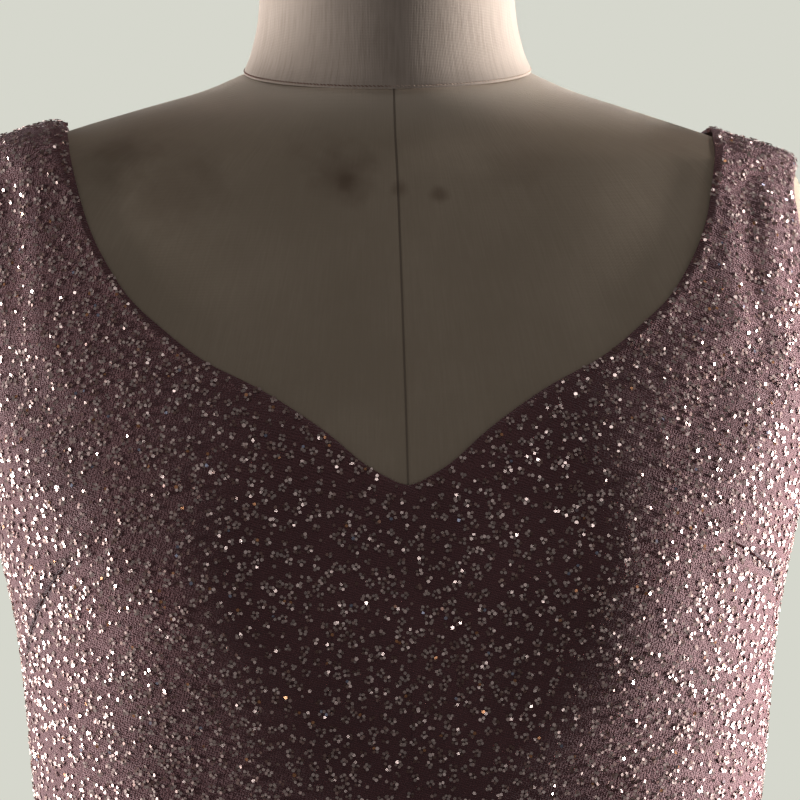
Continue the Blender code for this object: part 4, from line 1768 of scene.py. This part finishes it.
# Low tall ones behind both sides, some above, the glints, a faint front one
# and a large one behind.
LAMPS = (
    Lamp("side_right", (1.86, 0.74, 0.75), WAIST, (0.36, 0.90), 6.6, WARM, 44.0),
    Lamp("near_right", (1.98, 0.25, 1.05), WAIST, (0.30, 0.60), 6.2, WARM, 44.0),
    Lamp("side_left", (-1.78, 0.91, 0.75), WAIST, (0.42, 0.90), 5.2, WARM, 44.0),
    Lamp("near_left", (-1.99, 0.14, 1.05), WAIST, (0.36, 0.60), 2.4, WARM, 44.0),
    Lamp("behind_left", (-1.25, 1.60, 2.0), CHEST, (0.5, 0.5), 6.0),
    Lamp("behind_right", (1.10, 0.65, 2.9), CHEST, (0.5, 0.5), 5.0),
    Lamp("top_front", (0.1, -1.3, 3.4), CHEST, (0.7, 0.7), 3.2),
    *(Lamp(f"glint_{i}", (x, -2.4, z), CHEST, (0.09, 0.09), 0.75) for i, (x, z) in enumerate(GLINTS)),
    Lamp("front_soft", (0.0, -2.4, 1.9), CHEST, (1.6, 1.6), 1.0),
    Lamp("back", (0.0, 2.6, 1.6), KNEES, (1.4, 1.6), 26.0),
)


@dataclass
class Studio:
    """Floor, backdrop, lamps and camera."""

    floor_colour: Colour = (0.50, 0.50, 0.47)
    floor_radius: float = 2.6
    backdrop: Colour = (0.672, 0.680, 0.610)
    fill: Colour = (0.026, 0.024, 0.024)
    metres_per_pixel: float = 0.00041
    picture_width: float = 800.0   # pixels
    sensor_width: float = 36.0     # millimetres
    distance: float = 2.0
    azimuth: float = -3.0
    roll: float = 0.85
    aim: tuple[float, float, float] = (0.0031, 0.0, 1.317)

    def floor(self) -> None:
        """Lay the pale floor."""
        mesh = bmesh.new()
        bmesh.ops.create_circle(mesh, cap_ends=True, segments=96, radius=self.floor_radius)
        floor = bpy.data.objects.new("floor", to_mesh(mesh, "floor"))
        bpy.context.scene.collection.objects.link(floor)
        material, g, shader = new_material("pale floor")
        g.fill(shader, Base_Color=self.floor_colour, Roughness=0.8)
        clear_slots(floor, material)

    def world(self) -> None:
        """Show the pale backdrop to the camera and a dim one to the object."""
        world = bpy.data.worlds.new("studio")
        bpy.context.scene.world = world
        world.use_nodes = True
        g = Graph(world.node_tree)
        shown = world.node_tree.nodes["Background"]
        g.fill(shown, Color=self.backdrop)
        dim = g.node("ShaderNodeBackground")
        g.fill(dim, Color=self.fill)
        mixed = g.node("ShaderNodeMixShader")
        g.feed(mixed.inputs[0], g.node("ShaderNodeLightPath").outputs["Is Camera Ray"])
        g.feed(mixed.inputs[1], dim.outputs[0])
        g.feed(mixed.inputs[2], shown.outputs[0])
        g.feed(world.node_tree.nodes["World Output"].inputs["Surface"], mixed.outputs[0])

    def hang(self, lamp: Lamp) -> None:
        """Hang a lamp.

        Args:
            lamp: Its place, size and light.
        """
        data = bpy.data.lights.new(lamp.name, "AREA")
        data.spread = math.radians(lamp.spread)
        data.shape = "RECTANGLE"
        data.size, data.size_y = lamp.size
        data.energy = lamp.watts
        data.color = lamp.colour
        made = bpy.data.objects.new(lamp.name, data)
        made.location = lamp.place
        made.rotation_euler = (Vector(lamp.target) - Vector(lamp.place)).to_track_quat("-Z", "Y").to_euler()
        made.visible_camera = False
        bpy.context.scene.collection.objects.link(made)

    def camera(self) -> None:
        """Set the camera at the photograph's angle and framing."""
        turn = math.radians(self.azimuth)
        back = Vector((math.sin(turn), -math.cos(turn), 0.0))
        data = bpy.data.cameras.new("camera")
        data.sensor_width = self.sensor_width
        data.lens = self.sensor_width * self.distance / (self.metres_per_pixel * self.picture_width)
        camera = bpy.data.objects.new("camera", data)
        camera.location = Vector(self.aim) + back * self.distance
        tilt = Matrix.Rotation(math.radians(-self.roll), 3, "Z")
        camera.rotation_euler = (back.to_track_quat("Z", "Y").to_matrix() @ tilt).to_euler()
        bpy.context.scene.collection.objects.link(camera)
        bpy.context.scene.camera = camera

    def build(self) -> None:
        """Set up the whole stage."""
        bpy.context.scene.view_settings.view_transform = "Standard"
        self.floor()
        self.world()
        for lamp in LAMPS:
            self.hang(lamp)
        self.camera()


def dress_nodes(slot: str, material: Material, names: Sequence[str]) -> None:
    """Give CAD nodes that stay in view their finish.

    Args:
        slot: The name of their material slot, which is only logged.
        material: The finish.
        names: The nodes.
    """
    for name in names:
        clear_slots(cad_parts[name], material)
        LOG.info("%s: %s", name, slot)


def main() -> None:
    """Build the dress, the form and the stage."""
    logging.basicConfig(level=logging.INFO, format="%(name)s: %(message)s")
    effects = SharedEffects()
    linen = LinenFinish(
        "grey linen", light=(0.56, 0.45, 0.345), dark=(0.41, 0.325, 0.24), seam_width=0.0006,
        # Painted light makes the torso paler just below the neck.
        painted_light_from=1.418,
        spots=tuple(Spot(*row) for row in (
            (-0.0205, -0.0630, 1.4065, 0.0150, 0.40), (-0.0200, -0.0640, 1.4035, 0.0048, 0.50),
            (0.0164, -0.0686, 1.3980, 0.0042, 0.45), (0.0006, -0.0685, 1.4010, 0.0040, 0.50),
            (-0.1101, -0.0428, 1.4142, 0.0180, 0.34), (-0.0864, -0.0577, 1.4013, 0.0220, 0.26),
            (0.0520, -0.0600, 1.4120, 0.0170, 0.14), (-0.0330, -0.0610, 1.4230, 0.0150, 0.16),
        )),
    )
    neck = LinenFinish("neck linen", light=(0.53, 0.435, 0.37), dark=(0.38, 0.30, 0.245), slub_share=0.9)
    knit = KnitFinish()
    # The darts' dark ridges take the knit's fold colour, painted shade, with no gloss.
    fold = ThreadFinish("painted dart shade", pale=knit.fold, rusty=knit.fold, gloss=0.0)
    Dress().build(knit.build(effects), SequinFinish().build(), fold.build())
    LinenForm().build(linen.build(effects), neck.build(effects), ThreadFinish().build())
    dress_nodes("form_wood", WoodFinish().build(effects), ("form_neck_cap", "form_bottom_board"))
    dress_nodes("stand_steel", SteelFinish().build(effects), ("stand_pole", "stand_collar", "stand_foot"))
    Studio().build()


if __name__ == "__main__":
    main()
